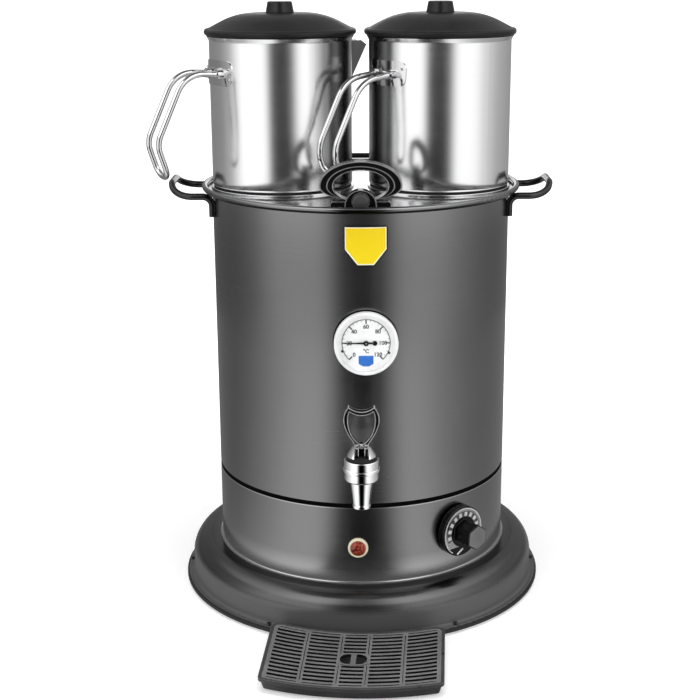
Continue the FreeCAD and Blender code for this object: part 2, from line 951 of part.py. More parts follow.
def hinge_brackets():
    """Two brackets that rise from the wall behind the cover and hold the pin."""
    buried = body_radius - hinge_bracket_depth
    outer = hinge_bracket_face
    elbow = hinge_bracket_elbow
    arm_front = hinge_y - hinge_arm_half_depth
    arm_rear = hinge_y + hinge_arm_half_depth
    profile = [
        (buried, hinge_bracket_bottom),
        (outer, hinge_bracket_bottom),
        (outer, elbow - hinge_elbow_drop),
        (arm_rear, elbow + hinge_elbow_rise),
        (arm_rear, hinge_height),
        (arm_front, hinge_height),
        (arm_front, elbow + 2 * hinge_elbow_rise),
        (outer, elbow - hinge_plate_lip),
        (buried, elbow - hinge_plate_lip)]
    body = cylinder(body_radius, 0, jacket_top + 20)
    brackets = []
    for side in (-1, 1):
        left = side * hinge_bracket_centre - hinge_bracket_width / 2
        right = left + hinge_bracket_width
        arm = across(profile, left, right)
        knuckle = along_x(hinge_knuckle_radius, left, right, hinge_y, hinge_height)
        bore = along_x(hinge_pin_radius, left - 1, right + 1, hinge_y, hinge_height)
        bracket = cut(fuse(arm, knuckle), body, bore)
        holes = [along_y(screw_radius + fit, x, z, 0, well_clear) for x, z in hinge_screw_places()]
        brackets.append(cut(bracket, *holes))
    return Part.makeCompound(brackets)


def hinge_screws():
    face = hinge_bracket_face
    screws = []
    for x, z in hinge_screw_places():
        shank = along_y(screw_radius, x, z, face - hinge_screw_length, face)
        head = along_y(screw_head_radius, x, z, face, face + screw_head_height)
        screws.append(fuse(head, shank))
    return Part.makeCompound(screws)


def hinge_leaves():
    """Two leaves that are riveted to the cover and turn on the pin."""
    base = cover_top
    top = cover_top + hinge_leaf_thickness
    over_bead = cover_bead_height + cover_bead_radius + seat_gap
    profile = [
        (hinge_leaf_front, base),
        (hinge_leaf_step - hinge_leaf_step_run, base),
        (hinge_leaf_step, over_bead),
        (hinge_y, over_bead),
        (hinge_y, over_bead + hinge_leaf_thickness),
        (hinge_leaf_step - 1, over_bead + hinge_leaf_thickness),
        (hinge_leaf_step - hinge_leaf_step_run - 1, top),
        (hinge_leaf_front, top)]
    leaves = []
    for side in (-1, 1):
        left = side * hinge_leaf_centre - hinge_leaf_width / 2
        right = left + hinge_leaf_width
        arm = across(profile, left, right)
        knuckle = along_x(hinge_knuckle_radius, left, right, hinge_y, hinge_height)
        bore = along_x(hinge_pin_radius + pin_fit, left - 1, right + 1, hinge_y, hinge_height)
        holes = [cylinder(screw_radius + fit, base - 1, top + 1, x, y) for x, y in leaf_rivet_places()]
        leaves.append(cut(fuse(arm, knuckle), bore, *holes))
    return Part.makeCompound(leaves)


def hinge_rivets():
    top = cover_top + hinge_leaf_thickness
    rivets = []
    for x, y in leaf_rivet_places():
        shank = cylinder(screw_radius, cover_under, top, x, y)
        upper = cylinder(screw_head_radius, top, top + rivet_head_height, x, y)
        lower = cylinder(screw_head_radius, cover_under - rivet_head_height, cover_under, x, y)
        rivets.append(fuse(upper, shank, lower))
    return Part.makeCompound(rivets)


# Carrying handles

def carry_handle(side):
    """A black rod bent to a loop, its two legs lying against the wall and welded to it."""
    leg_x = math.sqrt(body_radius ** 2 - carry_half_spread ** 2) + carry_rod_radius - carry_sunk
    half = [
        (leg_x, carry_half_spread, carry_leg_bottom, 0),
        (leg_x, carry_half_spread, carry_arm_height, carry_arm_bend),
        (carry_arm_reach, carry_half_spread, carry_arm_height, carry_corner_bend),
        (carry_tip_reach, carry_tip_half_spread, carry_tip_height, carry_tip_bend)]
    front = [(Vector(side * x, -y, z), bend) for x, y, z, bend in half]
    rear = [(Vector(side * x, y, z), bend) for x, y, z, bend in reversed(half)]
    loop = rod(front + rear, carry_rod_radius)
    return loop.cut(cylinder(body_radius, carry_leg_bottom - 20, jacket_top + 20))


# Thermometer

def thermometer_case():
    bezel_inner = gauge_radius - gauge_bezel
    bore = gauge_radius - gauge_wall
    glass_seat = gauge_depth - gauge_glass_inset
    case = spin([
        (0, 0),
        (gauge_radius - 3, 0, 1.5),
        (gauge_radius, 3, 1.5),
        (gauge_radius, gauge_depth, 1.0),
        (bezel_inner, gauge_depth - 0.4),
        (bezel_inner, glass_seat),
        (bore, glass_seat),
        (bore, gauge_floor),
        (0, gauge_floor)])
    axle_bore = cylinder(pointer_axle_radius + pin_fit, 1, gauge_depth)
    return at_front(case.cut(axle_bore), gauge_angle, gauge_height)


def thermometer_dial():
    dial_radius = gauge_radius - gauge_wall - fit
    bore = pointer_axle_radius + pin_fit
    dial = tube(dial_radius, bore, gauge_floor, gauge_floor + gauge_dial_thickness)
    return at_front(dial, gauge_angle, gauge_height)


def thermometer_glass():
    top = gauge_depth - gauge_glass_inset
    glass = cylinder(gauge_radius - gauge_wall - fit, top - gauge_glass_thickness, top)
    return at_front(glass, gauge_angle, gauge_height)


def thermometer_probe():
    """The pocket that reaches into the water, with the nut that holds it inside the tank."""
    pocket = cylinder(gauge_probe_radius, -gauge_probe_length, 0)
    nut_face = tank_radius - body_radius - sheet - 0.5
    nut = slab(hexagon(gauge_nut_radius), nut_face - gauge_nut_height, nut_face)
    return at_front(fuse(pocket, nut), gauge_angle, gauge_height)


def thermometer_pointer():
    """A pointer that rests towards 20 degrees on the scale, straight to the left."""
    level = gauge_floor + gauge_dial_thickness + pointer_lift
    top = level + pointer_thickness
    below = [(-pointer_length, -pointer_tip_half), (0, -pointer_half), (pointer_tail, -pointer_tail_half)]
    above = [(a, -b) for a, b in reversed(below)]
    blade = slab(below + above, level, top)
    weight = cylinder(pointer_tail_radius, level, top, pointer_tail, 0)
    hub = cylinder(pointer_hub_radius, level, top + 0.8)
    axle = cylinder(pointer_axle_radius, 1 + seat_gap, level)
    return at_front(fuse(blade, weight, hub, axle), gauge_angle, gauge_height)


# Signal lamp

def lamp_bezel():
    seat = lamp_bezel_depth - lamp_lens_seat
    bezel = spin([
        (0, -lamp_barrel_length),
        (lamp_barrel_radius, -lamp_barrel_length),
        (lamp_barrel_radius, 0),
        (lamp_bezel_radius, 0),
        (lamp_bezel_radius, lamp_bezel_depth, 1.2),
        (lamp_lens_radius + fit, lamp_bezel_depth),
        (lamp_lens_radius + fit, seat),
        (0, seat)])
    nut_top = -sheet - 0.4
    nut = slab(hexagon(lamp_nut_radius), nut_top - lamp_nut_height, nut_top)
    return at_front(fuse(bezel, nut), lamp_angle, lamp_height)


def lamp_lens():
    seat = lamp_bezel_depth - lamp_lens_seat
    edge = lamp_bezel_depth + 0.3
    crown = edge + lamp_lens_rise
    bulge = (lamp_lens_radius ** 2 + lamp_lens_rise ** 2) / (2 * lamp_lens_rise)
    ball = Part.makeSphere(bulge, Vector(0, 0, crown - bulge))
    lens = cylinder(lamp_lens_radius, seat, crown).common(ball)
    return at_front(lens, lamp_angle, lamp_height)


# Thermostat

knob_face = knob_stand + knob_skirt_depth
knob_grip_end = knob_face + knob_grip_length


def thermostat_knob():
    skirt = spin([
        (0, knob_stand),
        (knob_radius, knob_stand),
        (knob_radius, knob_face - knob_skirt_chamfer),
        (knob_radius - knob_skirt_chamfer, knob_face),
        (0, knob_face)])
    grip = slab(hexagon(knob_grip_radius, knob_grip_turn, knob_grip_bend), knob_face - 1, knob_grip_end)
    recess_outline = hexagon(knob_cap_radius + fit, knob_grip_turn, knob_grip_bend - 1)
    recess = slab(recess_outline, knob_grip_end - knob_cap_sunk, knob_grip_end + 1)
    bore = cylinder(shaft_radius + pin_fit, 0, shaft_reach + seat_gap)
    return at_front(cut(fuse(skirt, grip), recess, bore), knob_angle, knob_height)


def knob_cap():
    bottom = knob_grip_end - knob_cap_sunk
    outline = hexagon(knob_cap_radius, knob_grip_turn, knob_grip_bend - 1)
    cap = slab(outline, bottom, bottom + knob_cap_depth)
    return at_front(cap, knob_angle, knob_height)


def knob_scale():
    """The silver scale ring that lies on the skirt, cut off below to leave the dark part with its mark."""
    ring = tube(scale_outer_radius, scale_inner_radius, knob_face, knob_face + scale_thickness)
    reach = knob_radius + 1
    half_tall = (reach - scale_chord) / 2
    below = slab(rectangle(reach, half_tall), 0, knob_grip_end)
    below.translate(Vector(0, -scale_chord - half_tall, 0))
    return at_front(ring.cut(below), knob_angle, knob_height)


def thermostat_shaft():
    flange_face = -sheet - thermostat_flange_gap
    back = flange_face - thermostat_flange_thickness - thermostat_deep
    shaft = cylinder(shaft_radius, back + shaft_buried, shaft_reach)
    return at_front(shaft, knob_angle, knob_height)


def thermostat_body():
    flange_face = -sheet - thermostat_flange_gap
    flange_back = flange_face - thermostat_flange_thickness
    back = flange_back - thermostat_deep

    def rectangle(width, tall, bend):
        a = width / 2
        b = tall / 2
        return [(-a, -b, bend), (a, -b, bend), (a, b, bend), (-a, b, bend)]

    flange = slab(rectangle(thermostat_flange_width, thermostat_flange_tall, 3.0), flange_back, flange_face)
    case = slab(rectangle(thermostat_width, thermostat_tall, 3.0), back, flange_back)
    bush = cylinder(thermostat_bush_radius, flange_back, knob_stand - 0.6)
    bore = cylinder(shaft_radius + pin_fit, back + shaft_buried - seat_gap, knob_stand)
    return at_front(cut(fuse(flange, case, bush), bore), knob_angle, knob_height)


def body_point(angle, radius, height):
    turn = math.radians(angle)
    return Vector(radius * math.sin(turn), -radius * math.cos(turn), height)


thermostat_flange_radius = body_radius - sheet - thermostat_flange_gap
thermostat_back_radius = thermostat_flange_radius - thermostat_flange_thickness - thermostat_deep


def thermostat_probe():
    """The sensing bulb in the water and the fine tube that leads to the thermostat."""
    level = tank_floor - 14.0
    corners = [
        (body_point(knob_angle, thermostat_back_radius, knob_height), 0),
        (body_point(knob_angle, thermostat_back_radius - 18, knob_height), 10.0),
        (body_point(knob_angle, thermostat_back_radius - 18, level), 10.0),
        (Vector(probe_x, probe_y, level), 10.0),
        (Vector(probe_x, probe_y, tank_floor + sheet + probe_gland_height), 0)]
    fine_tube = rod(corners, probe_tube_radius)
    bulb_bottom = tank_floor + sheet + probe_gland_height
    bulb = cylinder(probe_bulb_radius, bulb_bottom, bulb_bottom + probe_bulb_length, probe_x, probe_y)
    gland = hex_nut(probe_gland_radius, tank_floor + sheet, bulb_bottom, probe_x, probe_y)
    return fuse(fine_tube, bulb, gland)


# Heater and cut-out

def heater_path():
    left = Vector(-heater_leg_x, heater_leg_y, 0)
    right = Vector(heater_leg_x, heater_leg_y, 0)
    level = Vector(0, 0, heater_loop_height)
    wide = Vector(heater_loop_half_width, heater_leg_y, heater_loop_height)
    front = Vector(heater_loop_half_width, heater_loop_front, heater_loop_height)
    return [
        (left + Vector(0, 0, heater_leg_bottom), 0),
        (left + level, 14.0),
        (Vector(-wide.x, wide.y, wide.z), 34.0),
        (Vector(-front.x, front.y, front.z), 40.0),
        (front, 40.0),
        (wide, 34.0),
        (right + level, 14.0),
        (right + Vector(0, 0, heater_leg_bottom), 0)]


def heating_element():
    return rod(heater_path(), heater_rod_radius)


def heater_nuts():
    """The nuts under the tank's floor and the sealing washers above it."""
    pieces = []
    bore = heater_rod_radius + pin_fit
    floor_top = tank_floor + sheet
    for side in (-1, 1):
        x = side * heater_leg_x
        hole = cylinder(bore, 0, floor_top + 20, x, heater_leg_y)
        nut = hex_nut(heater_nut_radius, tank_floor - heater_nut_height, tank_floor, x, heater_leg_y)
        washer_top = floor_top + heater_washer_height
        washer = cylinder(heater_washer_radius, floor_top, washer_top, x, heater_leg_y)
        pieces.append(nut.cut(hole))
        pieces.append(washer.cut(hole))
    return Part.makeCompound(pieces)


def safety_cutout():
    bottom = tank_floor - cutout_height
    case = cylinder(cutout_radius, bottom, tank_floor, cutout_x, cutout_y)
    ear_plate = slab(
        [(cutout_x - cutout_ear, cutout_y - 4), (cutout_x + cutout_ear, cutout_y - 4),
         (cutout_x + cutout_ear, cutout_y + 4), (cutout_x - cutout_ear, cutout_y + 4)],
        tank_floor - sheet, tank_floor)
    tabs = [slab([(cutout_x + s - 0.5, cutout_y - 3), (cutout_x + s + 0.5, cutout_y - 3),
                  (cutout_x + s + 0.5, cutout_y + 3), (cutout_x + s - 0.5, cutout_y + 3)],
                 bottom - 8, bottom) for s in (-4.5, 4.5)]
    return fuse(case, ear_plate, *tabs)


# Mains side

block_top = floor_plate_top + block_height


def terminal_block():
    a = block_width / 2
    y_front = block_y - block_depth / 2
    y_rear = block_y + block_depth / 2
    block = slab([(-a, y_front), (a, y_front), (a, y_rear), (-a, y_rear)], floor_plate_top, block_top)
    well_floor = block_top - block_well_depth
    well_y = y_front + block_well_inset
    wells = []
    screws = []
    for i in range(-1, 2):
        x = i * block_pole_pitch
        wells.append(cylinder(block_well_radius, well_floor, block_top + 1, x, well_y))
        screws.append(cylinder(block_screw_radius, well_floor, block_top - block_screw_sunk, x, well_y))
    return fuse(cut(block, *wells), *screws)


def cable_gland():
    """The gland at the rear through which the mains lead enters."""
    flange = slab(hexagon(gland_flange_radius, 30), 0, gland_flange_height)
    dome = spin([
        (0, gland_flange_height),
        (gland_radius, gland_flange_height),
        (gland_radius, gland_outside - gland_dome_drop, 2.0),
        (gland_radius - gland_dome_drop, gland_outside),
        (0, gland_outside)])
    thread = cylinder(gland_thread_radius, -gland_inside, 0)
    nut_top = -sheet - wall_nut_gap
    nut = slab(hexagon(gland_flange_radius, 30), nut_top - gland_nut_height, nut_top)
    bore = cylinder(gland_bore_radius, -gland_inside - 1, gland_outside + 1)
    return at_front(fuse(flange, dome, thread, nut).cut(bore), 180, gland_height)


def internal_wires():
    """Leads between the terminal block, the heater, the thermostat and the lamp."""
    y = block_y + block_depth / 2 - wire_end_inset
    pole = block_pole_pitch
    leg_end = heater_leg_bottom
    thermostat_mid = thermostat_back_radius + thermostat_deep / 2
    under = body_point(knob_angle, thermostat_mid, knob_height - thermostat_tall / 2)
    above = body_point(knob_angle, thermostat_mid, knob_height + thermostat_tall / 2)
    lamp_back = body_point(lamp_angle, body_radius - lamp_barrel_length, lamp_height)
    bend = wire_bend
    lamp_end = Vector(0, block_y - block_depth / 2, block_top - wire_lamp_end_drop)
    lamp_run = Vector(0, -wire_lamp_end_run, 0)
    lamp_side = lamp_back.y + wire_lamp_stand
    block_to_heater = [
        (Vector(-pole, y, block_top), 0),
        (Vector(-pole, y, wire_middle_level), bend),
        (Vector(-heater_leg_x, heater_leg_y, wire_high_level), bend),
        (Vector(-heater_leg_x, heater_leg_y, leg_end), 0)]
    block_to_thermostat = [
        (Vector(pole, y, block_top), 0),
        (Vector(pole, y, wire_low_level), bend),
        (Vector(under.x, under.y + wire_thermostat_stand, wire_low_level), bend),
        (Vector(under.x, under.y, wire_dip_level), bend),
        (under, 0)]
    thermostat_to_heater = [
        (above, 0),
        (Vector(above.x, above.y, leg_end - wire_turn_drop), bend),
        (Vector(heater_leg_x + wire_step, heater_leg_y - 2 * wire_step, leg_end - wire_dip), bend),
        (Vector(heater_leg_x, heater_leg_y, leg_end - wire_dip), bend),
        (Vector(heater_leg_x, heater_leg_y, leg_end), 0)]
    block_to_lamp = [
        (lamp_end, 0),
        (lamp_end + lamp_run, bend),
        (Vector(lamp_back.x, lamp_side, wire_floor_level), bend),
        (Vector(lamp_back.x, lamp_side, lamp_height), bend),
        (lamp_back, 0)]
    runs = (block_to_heater, block_to_thermostat, thermostat_to_heater, block_to_lamp)
    return Part.makeCompound([rod(run, wire_radius) for run in runs])


# Tap

tap_y = -(body_radius + tap_reach)


def at_tap(shape):
    moved = shape.copy()
    moved.translate(Vector(0, tap_y, 0))
    return moved


def tap_body():
    """The nozzle, the collar and the shank that runs through both walls."""
    lip = 1.6
    outside = spin([
        (0, tap_outlet),
        (tap_outlet_radius, tap_outlet, 1.0),
        (tap_outlet_radius + 0.4, tap_outlet + 2 * lip),
        (tap_outlet_radius - 0.2, tap_outlet + 3 * lip),
        (tap_nozzle_radius - 1.6, (tap_outlet + tap_collar_bottom) / 2 + 3),
        (tap_nozzle_radius, tap_collar_bottom),
        (tap_collar_radius - 1, tap_collar_bottom),
        (tap_collar_radius, tap_collar_bottom + 1.5, 1.0),
        (tap_collar_radius, tap_collar_top),
        (0, tap_collar_top)])
    outside = at_tap(outside)
    shank_end = -(body_radius - tap_shank_inside)
    shank = along_y(tap_shank_radius, 0, tap_shank_height, tap_y + 8, shank_end)
    flange_rear = -body_radius - tap_washer_thickness
    flange = along_y(tap_flange_radius, 0, tap_shank_height, flange_rear - tap_flange_thickness, flange_rear)
    body = fuse(outside, shank, flange)
    chamber = at_tap(cylinder(tap_chamber_radius, tap_seat_height, tap_collar_top + 1))
    seat_bore = at_tap(cylinder(tap_seat_bore, tap_outlet - 1, tap_seat_height + 1))
    outlet = at_tap(cone(tap_mouth_radius, tap_seat_bore, tap_outlet, tap_outlet + tap_mouth_depth))
    inlet = along_y(tap_shank_bore, 0, tap_shank_height, tap_y, shank_end + 1)
    return cut(body, chamber, seat_bore, outlet, inlet)


def tap_gaskets():
    """Washers outside the jacket and inside the tank, and the black disc that the lever's heel bears on."""
    outer_face = -body_radius - tap_washer_thickness
    outer_block = along_y(tap_flange_radius - 1, 0, tap_shank_height, outer_face, -body_radius + 4)
    hole = along_y(tap_shank_radius + fit, 0, tap_shank_height, -body_radius - 4, 0)
    outer = cut(outer_block, hole, cylinder(body_radius, 0, jacket_top))
    inner_face = tank_radius - sheet
    inner_block = along_y(tap_nut_radius, 0, tap_shank_height, -inner_face - 2, -inner_face + 3)
    inner = cut(inner_block.common(cylinder(inner_face, 0, jacket_top)), hole)
    disc = at_tap(tube(bonnet_disc_radius, stem_radius + fit, bonnet_top - 2, bonnet_disc_top))
    return Part.makeCompound([outer, inner, disc])


def tap_nut():
    face = -(tank_radius - sheet) + 3
    nut = slab(hexagon(tap_nut_radius), 0, tap_nut_height)
    nut.rotate(Vector(0, 0, 0), Vector(1, 0, 0), -90)
    nut.translate(Vector(0, face, tap_shank_height))
    return nut.cut(along_y(tap_shank_radius + pin_fit, 0, tap_shank_height, -body_radius, 0))


def tap_bonnet():
    """The nut ring on the tap's collar and the two chromed cheeks between which the lever rocks."""
    ring = spin([
        (stem_radius + fit, tap_collar_top),
        (bonnet_ring_radius, tap_collar_top, 0.8),
        (bonnet_ring_radius, tap_collar_top + bonnet_ring_height, 0.8),
        (bonnet_radius, tap_collar_top + bonnet_ring_height + 0.8),
        (bonnet_radius, bonnet_top, 1.2),
        (bonnet_disc_radius + 0.4, bonnet_top),
        (bonnet_disc_radius + 0.4, bonnet_top - 2),
        (stem_radius + fit, bonnet_top - 2)])
    spigot = tube(tap_chamber_radius - fit, stem_radius + fit, tap_collar_top - bonnet_spigot, tap_collar_top)
    cheeks = cone(bonnet_disc_radius - 0.4, cheek_top_radius, bonnet_disc_top, cheek_top)
    slot_outline = rectangle(lever_neck_half_width + seat_gap, bonnet_disc_radius + 1)
    slot = slab(slot_outline, bonnet_disc_top - 1, cheek_top + 1)
    return at_tap(Part.makeCompound([fuse(ring, spigot), cheeks.cut(slot)]))


def tap_stem():
    """The valve stem, with its flat tongue that the lever's pin passes through."""
    bottom = tap_seat_height + seat_gap + 3
    tongue_bottom = bonnet_disc_top + 0.5
    shank = cylinder(stem_radius, bottom, lever_pin_height)
    cup_top = tap_seat_height + seat_gap + cup_height
    collar = cylinder(cup_radius - 0.6, cup_top, cup_top + spring_collar)
    half = lever_slot / 2 - seat_gap
    flat = slab([(-half, -3), (half, -3), (half, 3), (-half, 3)], tongue_bottom, lever_pin_height + 3)
    top = cylinder(stem_radius, tongue_bottom, lever_pin_height + 2.8).common(flat)
    hole = along_x(lever_pin_radius, -10, 10, 0, lever_pin_height)
    lower = shank.common(cylinder(stem_radius + 1, 0, tongue_bottom))
    return at_tap(fuse(lower, collar, top).cut(hole))


def tap_seat_cup():
    """The soft cup that closes the seat."""
    bottom = tap_seat_height + seat_gap
    cup = spin([
        (0, bottom),
        (tap_seat_bore + 1.5, bottom),
        (cup_radius, bottom + 3),
        (cup_radius, bottom + cup_height - 1.5),
        (stem_radius + 2.5, bottom + cup_height),
        (0, bottom + cup_height)])
    return at_tap(cup.cut(cylinder(stem_radius, bottom + 3, bottom + cup_height + 1)))


def tap_spring():
    """A coil that presses the cup down on its seat."""
    bottom = tap_seat_height + seat_gap + cup_height + spring_collar + spring_wire
    top = tap_collar_top - bonnet_spigot - spring_wire
    pitch = (top - bottom) / spring_turns
    spine = Part.makeHelix(pitch, top - bottom, spring_radius)
    section = Part.Wire(Part.Circle(Vector(spring_radius, 0, 0), Vector(0, 1, 0), spring_wire).toShape())
    shell = Part.BRepOffsetAPI.MakePipeShell(spine)
    shell.setFrenetMode(True)
    shell.add(section)
    shell.build()
    shell.makeSolid()
    coil = shell.shape()
    coil.translate(Vector(0, 0, bottom))
    return at_tap(coil)


def tap_lever_pin():
    half = lever_neck_half_width
    return at_tap(along_x(lever_pin_radius, -half, half, 0, lever_pin_height))


def lever_outline(inset):
    """The open loop of the lever as seen from the front, drawn in by inset."""
    wide = lever_loop_half_width - inset
    top_half = lever_loop_top_half_width - inset * 0.6
    bottom = lever_loop_bottom - lever_loop_wall + inset
    points = [
        Vector(-top_half, 0, lever_loop_top),
        Vector(-wide, 0, lever_loop_middle + 2),
        Vector(-wide * 0.72, 0, lever_loop_middle - 12),
        Vector(-4.0 + inset * 0.4, 0, bottom)]
    left = Part.BSplineCurve()
    left.interpolate(points)
    right = Part.BSplineCurve()
    right.interpolate([Vector(-p.x, 0, p.z) for p in points])
    bottom_line = Part.LineSegment(points[-1], Vector(-points[-1].x, 0, points[-1].z))
    top_line = Part.LineSegment(points[0], Vector(-points[0].x, 0, points[0].z))
    edges = [left.toShape(), right.toShape(), bottom_line.toShape(), top_line.toShape()]
    return Part.Face(Part.Wire(Part.__sortEdges__(edges)))


def tap_lever():
    """The black lever: an open loop on a ribbed neck, forked round the stem's tongue.

    The nose at its foot rolls on the black disc and lifts the stem when the loop is pulled forwards.
    """
    half_depth = lever_loop_depth / 2
    push = Vector(0, lever_loop_depth, 0)
    outer = lever_outline(0).extrude(push)
    inner = lever_outline(lever_loop_wall).extrude(push)
    bar_radius = (lever_loop_top_half_width ** 2 + lever_bar_sag ** 2) / (2 * lever_bar_sag)
    bar_centre = lever_loop_top + bar_radius - lever_bar_sag
    beyond = 2 * lever_loop_depth
    scoop = along_y(bar_radius, 0, bar_centre, -beyond, beyond)
    under_bar = along_y(bar_radius, 0, bar_centre - lever_bar_thickness, -beyond, beyond)
    window = inner.cut(under_bar)
    loop = cut(outer, window, scoop)
    loop.translate(Vector(0, -half_depth, 0))
    a = lever_neck_half_width
    d = lever_neck_half_depth
    neck_top = lever_loop_bottom
    pin = lever_pin_height
    neck = across([(-d, pin), (d, pin), (half_depth, neck_top), (-half_depth, neck_top)], -a, a)
    heel = along_x(lever_heel_radius, -a, a, 0, lever_pin_height)
    nose = along_x(lever_heel_radius, -a, a, -lever_cam_reach, lever_pin_height)
    cam_bottom = lever_pin_height - lever_heel_radius
    cam_top = lever_pin_height + lever_heel_radius
    reach = lever_cam_reach
    cam_side = [(-reach, cam_bottom), (0, cam_bottom), (0, cam_top), (-reach, cam_top)]
    cam = across(cam_side, -a, a)
    rib_places = (-lever_rib_pitch, 0, lever_rib_pitch)
    ribs = [cylinder(lever_rib_radius, cam_top - 1, neck_top - 1, x, -d) for x in rib_places]
    slot = slab(rectangle(lever_slot / 2, well_clear), tap_outlet, lever_pin_height + lever_slot_rise)
    hole = along_x(lever_pin_radius + pin_fit, -a - 1, a + 1, 0, lever_pin_height)
    return at_tap(cut(fuse(loop, neck, heel, nose, cam, *ribs), slot, hole))


# Teapots

def pot_frame(shape, name):
    """Moves a shape made round the Z axis, with its handle along -Y, to its place on the cover."""
    moved = shape.copy()
    moved.rotate(Vector(0, 0, 0), Vector(0, 0, 1), -pot_turns[name])
    moved.translate(Vector(pot_offsets[name], 0, 0))
    return moved


pot_base = cover_top + pot_land_height + seat_ring_thickness + fit


def spout_solid(inset, lift):
    """The wedge of the pouring lip, pointing to +Y, drawn in by inset and raised by lift at its top."""
    side = spout_half_width - inset * 1.4
    tip = spout_reach - inset * 1.6
    level = spout_level_reach - inset * 1.6
    wall = pot_radius - 5 - inset
    bottom = Vector(0, pot_radius - inset, spout_bottom + inset * 3)
    left = Vector(-side, wall, spout_top + lift)
    right = Vector(side, wall, spout_top + lift)
    left_level = Vector(-side * 0.32, level, spout_top + lift)
    right_level = Vector(side * 0.32, level, spout_top + lift)
    point = Vector(0, tip, spout_tip_height + lift)
    heel = Vector(0, wall, spout_bottom + inset * 3)
    faces = [
        (left, left_level, right_level, right),
        (left_level, point, right_level),
        (left, bottom, left_level),
        (left_level, bottom, point),
        (right, right_level, bottom),
        (right_level, point, bottom),
        (left, heel, bottom),
        (right, bottom, heel),
        (left, right, heel)]
    shells = [Part.Face(Part.makePolygon(list(face) + [face[0]])) for face in faces]
    return Part.Solid(Part.Shell(shells))


def pot_vessel(name):
    half = sheet / 2
    wall = pot_radius - half
    middle_line = [
        (0, pot_base + half, 0),
        (wall, pot_base + half, pot_base_bend),
        (wall, pot_rim_height - pot_neck, pot_neck_bend),
        (pot_rim_radius - half, pot_rim_height, 0)]
    vessel = spin(bent_sheet(middle_line, sheet))
    inside = cylinder(wall, pot_base, pot_rim_height)
    lip = spout_solid(0, 0).cut(inside)
    throat = spout_solid(sheet, 1.0)
    vessel = fuse(vessel, lip).cut(throat)
    return pot_frame(vessel, name)


def rod_end_places():
    half = pot_rod_spread / 2
    return [(-half, bracket_height), (half, bracket_height)]


def pot_rods(name):
    """The handle: two parallel rods joined by a turn at the lower end."""
    half = pot_rod_spread / 2
    start = pot_radius + 1.5
    side = [(start, bracket_height, 0)] + list(pot_rod_corners[name])
    corners = [(Vector(half, -reach, height), bend) for reach, height, bend in side]
    tip_reach, tip_height = pot_rod_tips[name]
    turn_bend = half - 0.6
    corners.append((Vector(half, -tip_reach, tip_height), turn_bend))
    corners.append((Vector(-half, -tip_reach, tip_height), turn_bend))
    corners += [(Vector(-half, -reach, height), bend) for reach, height, bend in side[::-1]]
    return rod(corners, pot_rod_radius)


def pot_bracket(name):
    """The curved plate on the wall, with two sockets for the rods and its rivets."""
    outline = [
        (-bracket_half_spread - bracket_radius * 0.55, -bracket_radius * 0.9, 8.0),
        (bracket_half_spread + bracket_radius * 0.55, -bracket_radius * 0.9, 8.0),
        (bracket_half_spread + bracket_radius * 0.75, bracket_radius, 9.0),
        (-bracket_half_spread - bracket_radius * 0.75, bracket_radius, 9.0)]
    block = prism(outline, in_xz, 0, well_clear)
    block.translate(Vector(0, 0, bracket_height))
    low = bracket_height - bracket_band
    high = bracket_height + bracket_band
    shell = tube(pot_radius + bracket_thickness, pot_radius, low, high)
    plate = shell.common(block)
    for x, z in rod_end_places():
        socket = along_y(socket_radius, x, z, -pot_radius - socket_length, -pot_radius + 6)
        plate = plate.fuse(socket)
    plate = plate.cut(cylinder(pot_radius, low, high))
    rivets = []
    for x in (-bracket_half_spread - 5, bracket_half_spread + 5):
        for z in (bracket_height - 5.5, bracket_height + 5.5):
            reach = math.sqrt((pot_radius + bracket_thickness) ** 2 - x ** 2)
            rivets.append(along_y(pot_rivet_radius, x, z, -reach - 0.7, -reach + 0.5))
    plate = fuse(plate, *rivets)
    return pot_frame(plate.cut(pot_rods(name)), name)


lid_rest = pot_rim_height + seat_gap


def pot_lid(name):
    half = sheet / 2
    plug = lid_plug_radius - half
    rest = lid_rest + half
    rim = lid_radius - half
    top = lid_rest + lid_rim_height - half
    middle_line = [
        (plug, lid_rest - lid_plug_depth, 0),
        (plug, rest, 1.4),
        (rim, rest, lid_rim_bend),
        (rim, top, lid_rim_bend),
        (lid_dome_foot, top, 1.6),
        (lid_dome_shoulder, top + lid_dome_shoulder_height, lid_dome_bend),
        (lid_crown_radius, top + lid_dome_shoulder_height + lid_crown, lid_crown_bend),
        (0, top + lid_dome_shoulder_height + lid_crown, 0)]
    lid = spin(bent_sheet(middle_line, sheet))
    lid = lid.cut(cylinder(lid_screw_radius + fit, lid_rest, pot_rim_height + 60))
    return pot_frame(lid, name)


def lid_top():
    return lid_rest + lid_rim_height + lid_dome_shoulder_height + lid_crown


def pot_lid_knob(name):
    """The black knob of a lid, with its screw from below."""
    bottom = lid_top()
    top = bottom + lid_knob_height
    knob = spin([
        (0, bottom),
        (lid_knob_bottom_radius, bottom),
        (lid_knob_top_radius, top, lid_knob_top_bend),
        (0, top)])
    screw = cylinder(lid_screw_radius, bottom - sheet - 0.5, bottom)
    head = cylinder(lid_screw_radius + 2.5, bottom - sheet - 2.5, bottom - sheet - 0.4)
    return pot_frame(fuse(knob, screw, head), name)


# Drip tray, made in its own frame with its front towards -Y

